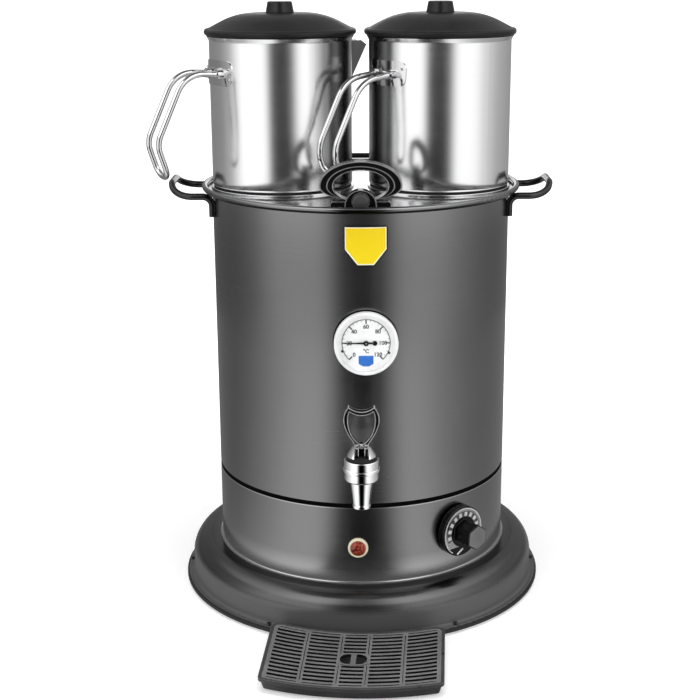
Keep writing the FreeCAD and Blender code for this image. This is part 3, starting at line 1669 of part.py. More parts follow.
def tray_outline(inset, level, bend_cut):
    """The tray's outline at one level, curved at rear and front, with its corners rounded."""
    half_width = tray_half_width - inset
    rear = tray_half_length - inset
    front = -tray_half_length + inset
    rear_curve = tray_rear_curve + inset
    front_curve = tray_front_curve - inset
    rear_sag = rear_curve - math.sqrt(rear_curve ** 2 - half_width ** 2)
    front_sag = front_curve - math.sqrt(front_curve ** 2 - half_width ** 2)
    rear_left = Vector(-half_width, rear + rear_sag, level)
    rear_right = Vector(half_width, rear + rear_sag, level)
    front_left = Vector(-half_width, front + front_sag, level)
    front_right = Vector(half_width, front + front_sag, level)
    sharp = Part.Wire([
        Part.Arc(rear_left, Vector(0, rear, level), rear_right).toShape(),
        Part.LineSegment(rear_right, front_right).toShape(),
        Part.Arc(front_right, Vector(0, front, level), front_left).toShape(),
        Part.LineSegment(front_left, rear_left).toShape()])
    block = Part.Face(sharp).extrude(Vector(0, 0, 1))
    for bend, at_rear in ((tray_rear_bend, True), (tray_front_bend, False)):
        upright = [edge for edge in block.Edges if abs(edge.tangentAt(edge.FirstParameter).z) > 0.9]
        upright.sort(key=lambda edge: edge.CenterOfMass.y, reverse=at_rear)
        block = block.makeFillet(max(bend - bend_cut, 1.0), upright[:2])
    lowest = min(block.Faces, key=lambda face: face.CenterOfMass.z)
    return lowest.OuterWire


def tray_block(inset_bottom, inset_top, bottom, top, bend_cut=0):
    """A block with the tray's outline that widens from its bottom to its top."""
    lower = tray_outline(inset_bottom, bottom, bend_cut)
    upper = tray_outline(inset_top, top, bend_cut)
    return Part.makeLoft([lower, upper], True, True)


def to_tray_place(shape):
    moved = shape.copy()
    moved.rotate(Vector(0, 0, 0), Vector(0, 0, 1), -tray_yaw)
    moved.translate(Vector(tray_x, tray_y, 0))
    return moved


grate_top = tray_height - grate_drop
grate_bottom = grate_top - grate_thickness
grate_edge = tray_wall + tray_lip - 1.0


def drip_tray():
    """A shallow tray with an outward lip, an inner ledge for the grate and four small feet."""
    lip_bottom = tray_height - tray_lip_height
    body = tray_block(tray_lip + tray_draft, tray_lip, tray_foot_height, lip_bottom, tray_lip)
    lip = tray_block(0, 0, lip_bottom, tray_height)
    floor_top = tray_foot_height + tray_floor
    well_inset = tray_lip + tray_wall + tray_ledge
    well = tray_block(well_inset + tray_draft, well_inset, floor_top, grate_bottom, well_inset)
    pocket = tray_block(grate_edge, grate_edge, grate_bottom, tray_height + 1, grate_edge)
    tray = cut(fuse(body, lip), well, pocket)
    foot_x = tray_half_width - tray_foot_inset
    foot_y = tray_half_length - tray_foot_inset
    rear_y = foot_y + tray_foot_shift
    places = [(x, y) for x in (-foot_x, foot_x) for y in (-foot_y, rear_y)]
    feet = [cylinder(tray_foot_radius, 0, tray_foot_height, x, y) for x, y in places]
    return to_tray_place(fuse(tray, *feet))


def slot_columns():
    """The left and right limits of each column of slots."""
    side = tray_half_width - grate_side_margin
    half_rib = grate_rib + grate_divider_slit / 2
    lefts = [-side] + [x + half_rib for x in grate_dividers]
    rights = [x - half_rib for x in grate_dividers] + [side]
    return list(zip(lefts, rights))


def strip(left, right, bottom, top):
    reach = 2 * tray_half_length
    return slab([(left, -reach), (right, -reach), (right, reach), (left, reach)], bottom, top)


def row_band(index, bottom, top):
    """One curved row of slots, running right across the grate."""
    start = tray_half_length - grate_end_margin
    pitch = 2 * start / (grate_rows - 1)
    share = index / (grate_rows - 1)
    middle = start - pitch * index
    curve = tray_rear_curve + (tray_front_curve - tray_rear_curve) * share
    half = grate_slot / 2
    return tube(curve + half, curve - half, bottom, top, 0, middle + curve)


def slot_area(bottom, top):
    inset = grate_side_margin - 1.0
    return tray_block(inset, inset, bottom, top, inset)


def drip_grate():
    bottom = grate_bottom
    top = grate_top
    low = bottom - 1
    high = top + 1
    edge = grate_edge + grate_gap
    plate = tray_block(edge, edge, bottom, top, edge)
    rim_width = finger_hole_half_width + finger_rim
    rim_length = finger_hole_half_length + finger_rim
    keep = slab(rectangle(rim_width, rim_length), bottom - 2, top + 2)
    columns = Part.makeCompound([strip(left, right, low, high) for left, right in slot_columns()])
    rows = Part.makeCompound([row_band(i, low, high) for i in range(grate_rows)])
    slots = columns.common(rows).common(slot_area(low, high)).cut(keep)
    half_slit = grate_divider_slit / 2
    slit_area = tray_block(grate_side_margin + 3, grate_side_margin + 3, low, high, grate_side_margin)
    slits = []
    for x in grate_dividers:
        slits.append(strip(x - half_slit, x + half_slit, low, high).common(slit_area).cut(keep))
    plate = cut(plate, slots, *slits)
    rim_outline = rectangle(rim_width, rim_length, finger_hole_half_length)
    plate = fuse(plate, slab(rim_outline, bottom, top + finger_rim_rise))
    a = finger_hole_half_width
    b = finger_hole_half_length
    half_bar = finger_bar / 2
    hole_bend = b - 1.5
    hole_outline = [(half_bar, -b, 1.5), (a, -b, hole_bend), (a, b, hole_bend), (half_bar, b, 1.5)]
    right_hole = slab(hole_outline, low, high)
    left_hole = right_hole.mirror(Vector(0, 0, 0), Vector(1, 0, 0))
    return to_tray_place(cut(plate, right_hole, left_hole))


# All the pieces, by name

def all_parts():
    parts = {
        "base_ring": base_ring(),
        "bottom_plate": bottom_plate(),
        "bottom_screws": bottom_screws(),
        "rubber_feet": rubber_feet(),
        "lower_housing": lower_housing(),
        "seam_band": seam_band(),
        "upper_jacket": upper_jacket(),
        "inner_tank": inner_tank(),
        "badge_plate": badge_plate(),
        "cover_plate": cover_plate(),
        "pot_seat_rings": pot_seat_rings(),
        "cover_handle": cover_handle(),
        "cover_handle_plug": cover_handle_plug(),
        "hinge_pin": hinge_pin(),
        "hinge_brackets": hinge_brackets(),
        "hinge_screws": hinge_screws(),
        "hinge_leaves": hinge_leaves(),
        "hinge_rivets": hinge_rivets(),
        "carry_handle_left": carry_handle(-1),
        "carry_handle_right": carry_handle(1),
        "thermometer_case": thermometer_case(),
        "thermometer_dial": thermometer_dial(),
        "thermometer_glass": thermometer_glass(),
        "thermometer_probe": thermometer_probe(),
        "thermometer_pointer": thermometer_pointer(),
        "signal_lamp_bezel": lamp_bezel(),
        "signal_lamp_lens": lamp_lens(),
        "thermostat_knob": thermostat_knob(),
        "thermostat_knob_cap": knob_cap(),
        "thermostat_knob_scale": knob_scale(),
        "thermostat_shaft": thermostat_shaft(),
        "thermostat_body": thermostat_body(),
        "thermostat_probe": thermostat_probe(),
        "heating_element": heating_element(),
        "heater_nuts": heater_nuts(),
        "safety_cutout": safety_cutout(),
        "terminal_block": terminal_block(),
        "cable_gland": cable_gland(),
        "internal_wires": internal_wires(),
        "tap_body": tap_body(),
        "tap_gaskets": tap_gaskets(),
        "tap_nut": tap_nut(),
        "tap_bonnet": tap_bonnet(),
        "tap_stem": tap_stem(),
        "tap_seat_cup": tap_seat_cup(),
        "tap_spring": tap_spring(),
        "tap_lever_pin": tap_lever_pin(),
        "tap_lever": tap_lever(),
        "drip_tray": drip_tray(),
        "drip_grate": drip_grate()}
    for name in pot_offsets:
        parts["pot_" + name + "_vessel"] = pot_vessel(name)
        parts["pot_" + name + "_bracket"] = pot_bracket(name)
        parts["pot_" + name + "_handle"] = pot_frame(pot_rods(name), name)
        parts["pot_" + name + "_lid"] = pot_lid(name)
        parts["pot_" + name + "_lid_knob"] = pot_lid_knob(name)
    return parts


def main():
    os.makedirs("parts", exist_ok=True)
    for name, shape in all_parts().items():
        if not shape.isValid():
            print("not valid:", name)
        print(name, len(shape.Solids), round(shape.Volume / 1000, 2))
        shape.exportStep("parts/" + name + ".step")


main()
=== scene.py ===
import math
import bpy
import bmesh
from mathutils import Matrix, Vector


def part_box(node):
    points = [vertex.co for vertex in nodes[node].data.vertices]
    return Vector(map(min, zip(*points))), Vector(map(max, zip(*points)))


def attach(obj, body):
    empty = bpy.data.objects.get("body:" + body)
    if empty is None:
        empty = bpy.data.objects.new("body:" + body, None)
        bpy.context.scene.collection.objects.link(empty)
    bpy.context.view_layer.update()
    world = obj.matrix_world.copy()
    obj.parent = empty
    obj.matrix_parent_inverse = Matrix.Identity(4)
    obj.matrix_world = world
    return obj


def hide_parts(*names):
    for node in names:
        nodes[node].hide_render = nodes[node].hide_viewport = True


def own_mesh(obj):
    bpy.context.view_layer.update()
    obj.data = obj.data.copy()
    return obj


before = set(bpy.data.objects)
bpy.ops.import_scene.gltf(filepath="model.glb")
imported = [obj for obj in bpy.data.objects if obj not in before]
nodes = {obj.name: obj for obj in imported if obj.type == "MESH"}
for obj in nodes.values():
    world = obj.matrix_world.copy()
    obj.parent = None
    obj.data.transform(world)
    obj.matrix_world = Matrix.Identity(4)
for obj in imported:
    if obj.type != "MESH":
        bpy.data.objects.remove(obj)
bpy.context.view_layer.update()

# Sizes of the model and of what is painted on it, in metres and degrees

body_radius = 0.165
gauge_angle = 1.7
gauge_height = 0.324
gauge_radius = 0.03325
gauge_face = 0.0047
knob_angle = 39.0
knob_height = 0.1005
knob_face = 0.0117
knob_dark_face = 0.0111
badge_angle = 1.7
badge_half_width = 0.0225
badge_half_height = 0.0208
badge_middle = 0.4248
badge_foot_half_width = 0.009
badge_corner_rise = 0.017
badge_edge_width = 0.0013
badge_line_end = 0.0024
pointer_hub_face = 0.0072
foot_flat_radius = 0.178
foot_lip_radius = 0.2068
foot_shoulder_blur = 0.001
foot_lip_blur = 0.0004
cover_bead_radius = 0.0032
cover_bead_inner_radius = 0.1698
cover_bead_blur = 0.0006
cover_shade_start = 0.0014
cover_shade_end = 0.0006
wall_rim_width = 0.0012
wall_dull_and_sheen_height = 0.03
foot_rub_bottom = 0.028
foot_rub_height = 0.012
facing_shade_shift = 0.007
facing_shade_start = 0.031
facing_shade_end = 0.049
handle_half_width = 0.0424
handle_rise = 0.0253
handle_fall = 0.0145
handle_hole_half_width = 0.0282
handle_hole_rise = 0.0162
handle_hole_fall = 0.0155
handle_hub_drop = 0.02
handle_hub_radius = 0.016
handle_hub_blur = 0.0005
handle_face_start = 0.0003
handle_face_end = 0.0008

# Shares, slopes and steps that have no unit

badge_ramp_scale = 100
badge_fade_slope = -6.0
badge_fade_middle = 0.45
slot_wall_slope = 0.75
grate_top_slope = 0.95
rim_blur_share = 0.7
wall_rub_roughness = 0.55
foot_rub_roughness = 0.6
foot_rub_metal = 0.3
edge_lightening_start = 0.75
handle_hole_blur = 0.02
handle_rim_line = 0.06
handle_line_stops = [
    (0.09, 0.0), (0.46, 0.0), (0.5, 0.7), (0.55, 0.7), (0.59, 0.0), (0.9, 0.0), (0.94, 0.8)]
figure_height_share = 0.7
figure_thickening = 0.035

# The sockets of a Mix node that mixes colours

mix_share = 0
mix_first = 6
mix_second = 7
mix_result = 2

# How noise is drawn out: not at all, or along the brush

even = (1.0, 1.0, 1.0)
level_lines = (6.0, 6.0, 700.0)


# Building materials

def add_node(tree, kind, **settings):
    node = tree.nodes.new(kind)
    for name, value in settings.items():
        setattr(node, name, value)
    return node


def set_inputs(node, values):
    for name, value in values.items():
        node.inputs[name].default_value = value


def open_material(material):
    """A material's node tree and the shader in it."""
    tree = material.node_tree
    return tree, tree.nodes["Principled BSDF"]


def new_material(name, **values):
    """A material with one shader whose own sockets hold the plain numbers."""
    material = bpy.data.materials.new(name)
    material.use_nodes = True
    tree, shader = open_material(material)
    for key, value in values.items():
        shader.inputs[key.replace("_", " ")].default_value = value
    return material, tree, shader


def stretched_noise(tree, stretch, scale, detail=3.0, roughness=0.55):
    """Noise in the object's own space, drawn out along the axes where stretch is small."""
    place = add_node(tree, "ShaderNodeTexCoord")
    mapping = add_node(tree, "ShaderNodeMapping")
    mapping.inputs["Scale"].default_value = stretch
    noise = add_node(tree, "ShaderNodeTexNoise")
    set_inputs(noise, {"Scale": scale, "Detail": detail, "Roughness": roughness})
    tree.links.new(place.outputs["Object"], mapping.inputs["Vector"])
    tree.links.new(mapping.outputs["Vector"], noise.inputs["Vector"])
    return noise.outputs["Fac"]


def spread(tree, value, low, high, start=0.3, end=0.7):
    """Maps a value that runs from start to end to one that runs from low to high."""
    ramp = add_node(tree, "ShaderNodeMapRange")
    set_inputs(ramp, {"From Min": start, "From Max": end, "To Min": low, "To Max": high})
    tree.links.new(value, ramp.inputs["Value"])
    return ramp.outputs["Result"]


def two_colours(tree, value, first, second, start=0.3, end=0.7):
    """A colour that runs from first to second as a value runs from start to end."""
    ramp = add_node(tree, "ShaderNodeValToRGB")
    ramp.color_ramp.elements[0].position = start
    ramp.color_ramp.elements[0].color = (*first, 1)
    ramp.color_ramp.elements[1].position = end
    ramp.color_ramp.elements[1].color = (*second, 1)
    tree.links.new(value, ramp.inputs["Fac"])
    return ramp.outputs["Color"]


def add_bump(tree, shader, height, strength, distance=0.0002):
    bump = add_node(tree, "ShaderNodeBump")
    set_inputs(bump, {"Strength": strength, "Distance": distance})
    tree.links.new(height, bump.inputs["Height"])
    tree.links.new(bump.outputs["Normal"], shader.inputs["Normal"])
    return bump


def scaled(colour, factor):
    return tuple(min(1.0, c * factor) for c in colour)


def math_step(tree, operation, first, second):
    step = add_node(tree, "ShaderNodeMath", operation=operation)
    for socket, value in zip(step.inputs, (first, second)):
        if isinstance(value, (int, float)):
            socket.default_value = value
        else:
            tree.links.new(value, socket)
    return step.outputs[0]


def own_axes(tree):
    """The X, Y and Z of a point in the object's own space."""
    place = add_node(tree, "ShaderNodeTexCoord")
    axes = add_node(tree, "ShaderNodeSeparateXYZ")
    tree.links.new(place.outputs["Object"], axes.inputs[0])
    return axes.outputs["X"], axes.outputs["Y"], axes.outputs["Z"]


def length_of(tree, first, second):
    """The length of the diagonal with two given sides."""
    squares = [math_step(tree, "MULTIPLY", side, side) for side in (first, second)]
    return math_step(tree, "SQRT", math_step(tree, "ADD", *squares), 0)


def distance_from_axis(tree):
    x, y, _ = own_axes(tree)
    return length_of(tree, x, y)


def paint_where(tree, shader, mask, colour):
    """Lays another colour over the shader's base colour where the mask is one."""
    socket = shader.inputs["Base Color"]
    below = socket.links[0].from_socket
    mix = add_node(tree, "ShaderNodeMix", data_type="RGBA")
    tree.links.new(mask, mix.inputs[mix_share])
    tree.links.new(below, mix.inputs[mix_first])
    mix.inputs[mix_second].default_value = (*colour, 1)
    tree.links.new(mix.outputs[mix_result], socket)


def round_edges(tree, shader, radius):
    """Lets sharp edges catch the light as if they were rounded."""
    bevel = add_node(tree, "ShaderNodeBevel", samples=6)
    bevel.inputs["Radius"].default_value = radius
    bump = next(node for node in tree.nodes if node.bl_idname == "ShaderNodeBump")
    tree.links.new(bevel.outputs["Normal"], bump.inputs["Normal"])


def edge_wear_and_highlight(tree, colour, worn_and_lit_edge, radius=0.0015, amount=0.6, reach=0.97):
    """Lightens the colour on sharp edges: partly rubbing, partly a painted highlight where an edge
    would catch the light.
    """
    bevel = add_node(tree, "ShaderNodeBevel", samples=4)
    bevel.inputs["Radius"].default_value = radius
    geometry = add_node(tree, "ShaderNodeNewGeometry")
    product = add_node(tree, "ShaderNodeVectorMath", operation="DOT_PRODUCT")
    tree.links.new(bevel.outputs["Normal"], product.inputs[0])
    tree.links.new(geometry.outputs["Normal"], product.inputs[1])
    edge = spread(tree, product.outputs["Value"], amount, 0.0, edge_lightening_start, reach)
    mix = add_node(tree, "ShaderNodeMix", data_type="RGBA")
    tree.links.new(edge, mix.inputs[mix_share])
    tree.links.new(colour, mix.inputs[mix_first])
    mix.inputs[mix_second].default_value = (*worn_and_lit_edge, 1)
    return mix.outputs[mix_result]


def round_brushed(name, colour, roughness, anisotropy=0.6, variation=0.05, grain=0.25):
    """Sheet metal brushed round the Z axis: fine level lines, lightest where the brush bit."""
    material, tree, shader = new_material(name, Metallic=1.0, Anisotropic=anisotropy)
    lines = stretched_noise(tree, level_lines, 3.0, detail=5.0)
    clouds = stretched_noise(tree, even, 9.0, detail=2.0)
    both = add_node(tree, "ShaderNodeMath", operation="MULTIPLY_ADD")
    both.inputs[1].default_value = 0.6
    tree.links.new(lines, both.inputs[0])
    tree.links.new(spread(tree, clouds, 0.1, 0.3), both.inputs[2])
    low = scaled(colour, 1 - variation)
    high = scaled(colour, 1 + variation)
    tree.links.new(two_colours(tree, both.outputs[0], low, high), shader.inputs["Base Color"])
    rough = spread(tree, both.outputs[0], roughness * 0.85, roughness * 1.2)
    tree.links.new(rough, shader.inputs["Roughness"])
    tangent = add_node(tree, "ShaderNodeTangent", direction_type="RADIAL", axis="Z")
    tree.links.new(tangent.outputs["Tangent"], shader.inputs["Tangent"])
    add_bump(tree, shader, lines, grain, 0.00004)
    return material


def polished_metal(name, colour, roughness, variation=0.04, coat=0.0):
    """Drawn or plated metal: almost a mirror, with a faint clouding where it is handled."""
    material, tree, shader = new_material(name, Metallic=1.0, Coat_Weight=coat)
    clouds = stretched_noise(tree, even, 60.0, detail=4.0)
    low = scaled(colour, 1 - variation)
    high = scaled(colour, 1 + variation)
    tree.links.new(two_colours(tree, clouds, low, high), shader.inputs["Base Color"])
    tree.links.new(spread(tree, clouds, roughness * 0.6, roughness * 1.5), shader.inputs["Roughness"])
    fine = stretched_noise(tree, even, 900.0, detail=2.0)
    add_bump(tree, shader, fine, 0.06, 0.00003)
    return material


def moulded_plastic(
        name, colour, roughness, grain_scale=1400.0, grain=0.25, worn_and_lit_edge=None, specular=0.5,
        edge=0.0015, edge_lightening=0.6, reach=0.97, rounded=0.0):
    """Plastic or paint with a fine moulded grain and lighter edges, partly rubbed and partly painted
    highlights.
    """
    material, tree, shader = new_material(name, Specular_IOR_Level=specular)
    clouds = stretched_noise(tree, even, 45.0, detail=3.0)
    tone = two_colours(tree, clouds, scaled(colour, 0.85), scaled(colour, 1.18))
    if worn_and_lit_edge:
        tone = edge_wear_and_highlight(tree, tone, worn_and_lit_edge, edge, edge_lightening, reach)
    tree.links.new(tone, shader.inputs["Base Color"])
    tree.links.new(spread(tree, clouds, roughness * 0.85, roughness * 1.2), shader.inputs["Roughness"])
    grains = stretched_noise(tree, even, grain_scale, detail=2.0)
    add_bump(tree, shader, grains, grain, 0.00008)
    if rounded:
        round_edges(tree, shader, rounded)
    return material


def plain_print(name, colour, roughness=0.55):
    """Printing ink, with a little unevenness in its cover."""
    material, tree, shader = new_material(name, Roughness=roughness)
    clouds = stretched_noise(tree, even, 500.0)
    tone = two_colours(tree, clouds, scaled(colour, 0.9), scaled(colour, 1.08))
    tree.links.new(tone, shader.inputs["Base Color"])
    return material


def badge_material():
    """A yellow enamel field inside a white line and a black edge."""
    material, tree, shader = new_material(
        "badge_enamel", Roughness=0.28, Coat_Weight=0.3, Coat_Roughness=0.1)
    x, y, z = own_axes(tree)
    across = math_step(tree, "MULTIPLY", x, math.cos(math.radians(badge_angle)))
    shift = math_step(tree, "MULTIPLY", y, math.sin(math.radians(badge_angle)))
    along = math_step(tree, "ABSOLUTE", math_step(tree, "ADD", across, shift), 0)
    from_side = math_step(tree, "SUBTRACT", badge_half_width, along)
    level = math_step(tree, "SUBTRACT", z, badge_middle)
    from_end = math_step(tree, "SUBTRACT", badge_half_height, math_step(tree, "ABSOLUTE", level, 0))
    side_turn = math.atan2(badge_half_width - badge_foot_half_width, badge_corner_rise)
    corner_level = badge_corner_rise - badge_half_height
    above_corner = math_step(tree, "SUBTRACT", level, corner_level)
    from_slant = math_step(
        tree, "ADD", math_step(tree, "MULTIPLY", from_side, math.cos(side_turn)),
        math_step(tree, "MULTIPLY", above_corner, math.sin(side_turn)))
    inside = math_step(tree, "MINIMUM", math_step(tree, "MINIMUM", from_side, from_end), from_slant)
    bands = add_node(tree, "ShaderNodeValToRGB")
    bands.color_ramp.interpolation = "CONSTANT"
    stops = bands.color_ramp.elements
    stops[0].color = (0.006, 0.006, 0.006, 1)
    stops[1].position = badge_edge_width * badge_ramp_scale
    stops[1].color = (0.95, 0.92, 0.7, 1)
    field = stops.new(badge_line_end * badge_ramp_scale)
    field.color = (0.93, 0.68, 0.0, 1)
    tree.links.new(math_step(tree, "MULTIPLY", inside, badge_ramp_scale), bands.inputs["Fac"])
    fade = math_step(tree, "MULTIPLY_ADD", level, badge_fade_slope)
    fade.node.inputs[2].default_value = badge_fade_middle
    lighter = add_node(tree, "ShaderNodeMix", data_type="RGBA", blend_type="MULTIPLY")
    lighter.inputs[mix_share].default_value = 1.0
    tree.links.new(bands.outputs["Color"], lighter.inputs[mix_first])
    tint = two_colours(tree, fade, (1.0, 0.94, 1.0), (1.0, 1.12, 1.0), 0.2, 0.8)
    tree.links.new(tint, lighter.inputs[mix_second])
    tree.links.new(lighter.outputs[mix_result], shader.inputs["Base Color"])
    ripple = stretched_noise(tree, even, 600.0)
    add_bump(tree, shader, ripple, 0.1, 0.00004)
    return material


def lens_material():
    """Dark red moulded plastic with a pattern of small facets that catch the light; each facet's middle
    is painted orange, a painted glint.
    """
    material, tree, shader = new_material(
        "lamp_lens", Roughness=0.12, Transmission_Weight=0.25, IOR=1.49)
    place = add_node(tree, "ShaderNodeTexCoord")
    cells = add_node(tree, "ShaderNodeTexVoronoi", feature="F1")
    cells.inputs["Scale"].default_value = 320.0
    tree.links.new(place.outputs["Object"], cells.inputs["Vector"])
    facets = cells.outputs["Distance"]
    # Painted glints: each facet's middle is orange, its edge dark red.
    tone = two_colours(tree, facets, (0.6, 0.11, 0.05), (0.14, 0.005, 0.004), 0.1, 0.7)
    tree.links.new(tone, shader.inputs["Base Color"])
    add_bump(tree, shader, facets, 0.9, 0.0008)
    return material


def glass_material():
    """Thin flat glass: a pane to look through, with its own faint gloss."""
    material, tree, shader = new_material(
        "gauge_glass", IOR=1.45, Transmission_Weight=1.0, Alpha=0.16)
    smear = stretched_noise(tree, even, 40.0)
    tree.links.new(spread(tree, smear, 0.015, 0.06), shader.inputs["Roughness"])
    tree.links.new(
        two_colours(tree, smear, (0.94, 0.97, 0.97), (0.99, 1.0, 1.0)), shader.inputs["Base Color"])
    return material


def add_bead_and_shade(material):
    """The cover's rolled edge is coloured like the body's dark steel, round a bright plate; its lower
    half is painted shade, black where it overhangs the jacket.
    """
    tree, shader = open_material(material)
    radius = distance_from_axis(tree)
    bead_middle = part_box("cover_plate")[1][2] - cover_bead_radius
    outside = spread(
        tree, radius, 0.0, 1.0, cover_bead_inner_radius, cover_bead_inner_radius + cover_bead_blur)
    paint_where(tree, shader, outside, dark_steel_tone)
    height = own_axes(tree)[2]
    under = spread(
        tree, height, 1.0, 0.0, bead_middle - cover_shade_start, bead_middle - cover_shade_end)
    low = math_step(tree, "MULTIPLY", under, outside)
    # Painted shade: the lower half of the rolled edge is black, in the shadow where it overhangs the
    # jacket.
    paint_where(tree, shader, low, (0.004, 0.004, 0.004))


def add_foot_shade(material):
    """Painted shade: the foot's flat shoulder under the housing and its lip at the table are black."""
    tree, shader = open_material(material)
    radius = distance_from_axis(tree)
    shoulder = spread(
        tree, radius, 1.0, 0.0, foot_flat_radius - foot_shoulder_blur,
        foot_flat_radius + foot_shoulder_blur)
    lip = spread(tree, radius, 0.0, 1.0, foot_lip_radius - foot_lip_blur, foot_lip_radius)
    # Painted shade: the flat shoulder in the housing's shadow is black.
    paint_where(tree, shader, shoulder, (0.01, 0.01, 0.01))
    # Painted shade: the lip where the foot meets the table is black.
    paint_where(tree, shader, lip, (0.006, 0.006, 0.006))


def add_painted_highlight_line(material, top, width, colour):
    """A painted highlight: a thin light line along the top edge, where the sheet's edge would catch the
    light.
    """
    tree, shader = open_material(material)
    height = own_axes(tree)[2]
    mask = spread(tree, height, 0.0, 1.0, top - width, top - width * rim_blur_share)
    paint_where(tree, shader, mask, colour)


def soften_foot_of_wall(material, bottom, height_of_band, roughness, colour, metal=1.0):
    """The wall's lowest band is rubbed dull, so it mirrors what stands before it less, and takes the
    given colour; on the housing that colour is lighter, a painted sheen for the bright floor mirrored
    there.
    """
    tree, shader = open_material(material)
    height = own_axes(tree)[2]
    mask = spread(tree, height, 1.0, 0.0, bottom, bottom + height_of_band)
    socket = shader.inputs["Roughness"]
    dull = math_step(tree, "MULTIPLY", mask, roughness)
    tree.links.new(math_step(tree, "MAXIMUM", socket.links[0].from_socket, dull), socket)
    if metal < 1.0:
        tree.links.new(spread(tree, mask, 1.0, metal, 0.0, 1.0), shader.inputs["Metallic"])
    paint_where(tree, shader, mask, colour)


def add_painted_slot_shade(material):
    """Painted shade: only the faces that look up are silver; the walls of the slots are painted black,
    as the shade inside them.
    """
    tree, shader = open_material(material)
    geometry = add_node(tree, "ShaderNodeNewGeometry")
    axes = add_node(tree, "ShaderNodeSeparateXYZ")
    tree.links.new(geometry.outputs["True Normal"], axes.inputs[0])
    mask = spread(tree, axes.outputs["Z"], 1.0, 0.0, slot_wall_slope, grate_top_slope)
    paint_where(tree, shader, mask, (0.006, 0.006, 0.006))


def add_painted_handle_highlights(material):
    """Painted highlights on the cover handle's front face: pale lines that follow its oval, where its
    rims would catch the light.
    """
    tree, shader = open_material(material)
    low_corner, high_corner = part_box("cover_handle")
    centre_height = high_corner[2] - handle_rise
    x, y, z = own_axes(tree)
    level = math_step(tree, "SUBTRACT", z, centre_height)
    up = math_step(tree, "MAXIMUM", level, 0.0)
    down = math_step(tree, "MINIMUM", level, 0.0)

    def oval(half_width, rise, fall):
        total = math_step(tree, "POWER", math_step(tree, "DIVIDE", x, half_width), 2.0)
        for part, size in ((up, rise), (down, fall)):
            square = math_step(tree, "POWER", math_step(tree, "DIVIDE", part, size), 2.0)
            total = math_step(tree, "ADD", total, square)
        return math_step(tree, "SQRT", total, 0)

    hole = oval(handle_hole_half_width, handle_hole_rise, handle_hole_fall)
    edge = oval(handle_half_width, handle_rise, handle_fall)
    from_hole = math_step(tree, "SUBTRACT", hole, 1.0)
    from_edge = math_step(tree, "SUBTRACT", 1.0, edge)
    across = math_step(tree, "DIVIDE", from_hole, math_step(tree, "ADD", from_hole, from_edge))
    steps = add_node(tree, "ShaderNodeValToRGB")
    stops = steps.color_ramp.elements
    stops[0].position = 0.0
    stops[0].color = (1, 1, 1, 1)
    stops[1].position = handle_rim_line
    stops[1].color = (1, 1, 1, 1)
    for position, tone in handle_line_stops:
        stop = stops.new(position)
        stop.color = (tone, tone, tone, 1)
    tree.links.new(across, steps.inputs["Fac"])
    front = spread(
        tree, y, 1.0, 0.0, low_corner[1] + handle_face_start, low_corner[1] + handle_face_end)
    ring = spread(tree, from_hole, 0.0, 1.0, -handle_hole_blur, 0.0)
    hub_level = math_step(tree, "ADD", level, handle_hub_drop)
    from_hub = length_of(tree, x, hub_level)
    off_hub = spread(
        tree, from_hub, 0.0, 1.0, handle_hub_radius, handle_hub_radius + handle_hub_blur)
    mask = math_step(tree, "MULTIPLY", steps.outputs["Color"], front)
    mask = math_step(tree, "MULTIPLY", mask, math_step(tree, "MULTIPLY", ring, off_hub))
    # Painted highlights: pale lines along the handle's rims.
    paint_where(tree, shader, mask, (0.26, 0.26, 0.26))


def paint_shade_on_facing_sides(material, start, end, tone):
    """Painted shade: the pots' walls that face each other are darker, as the shade between them."""
    tree, shader = open_material(material)
    away = math_step(tree, "ABSOLUTE", math_step(tree, "ADD", own_axes(tree)[0], facing_shade_shift), 0)
    paint_where(tree, shader, spread(tree, away, 1.0, 0.0, start, end), tone)


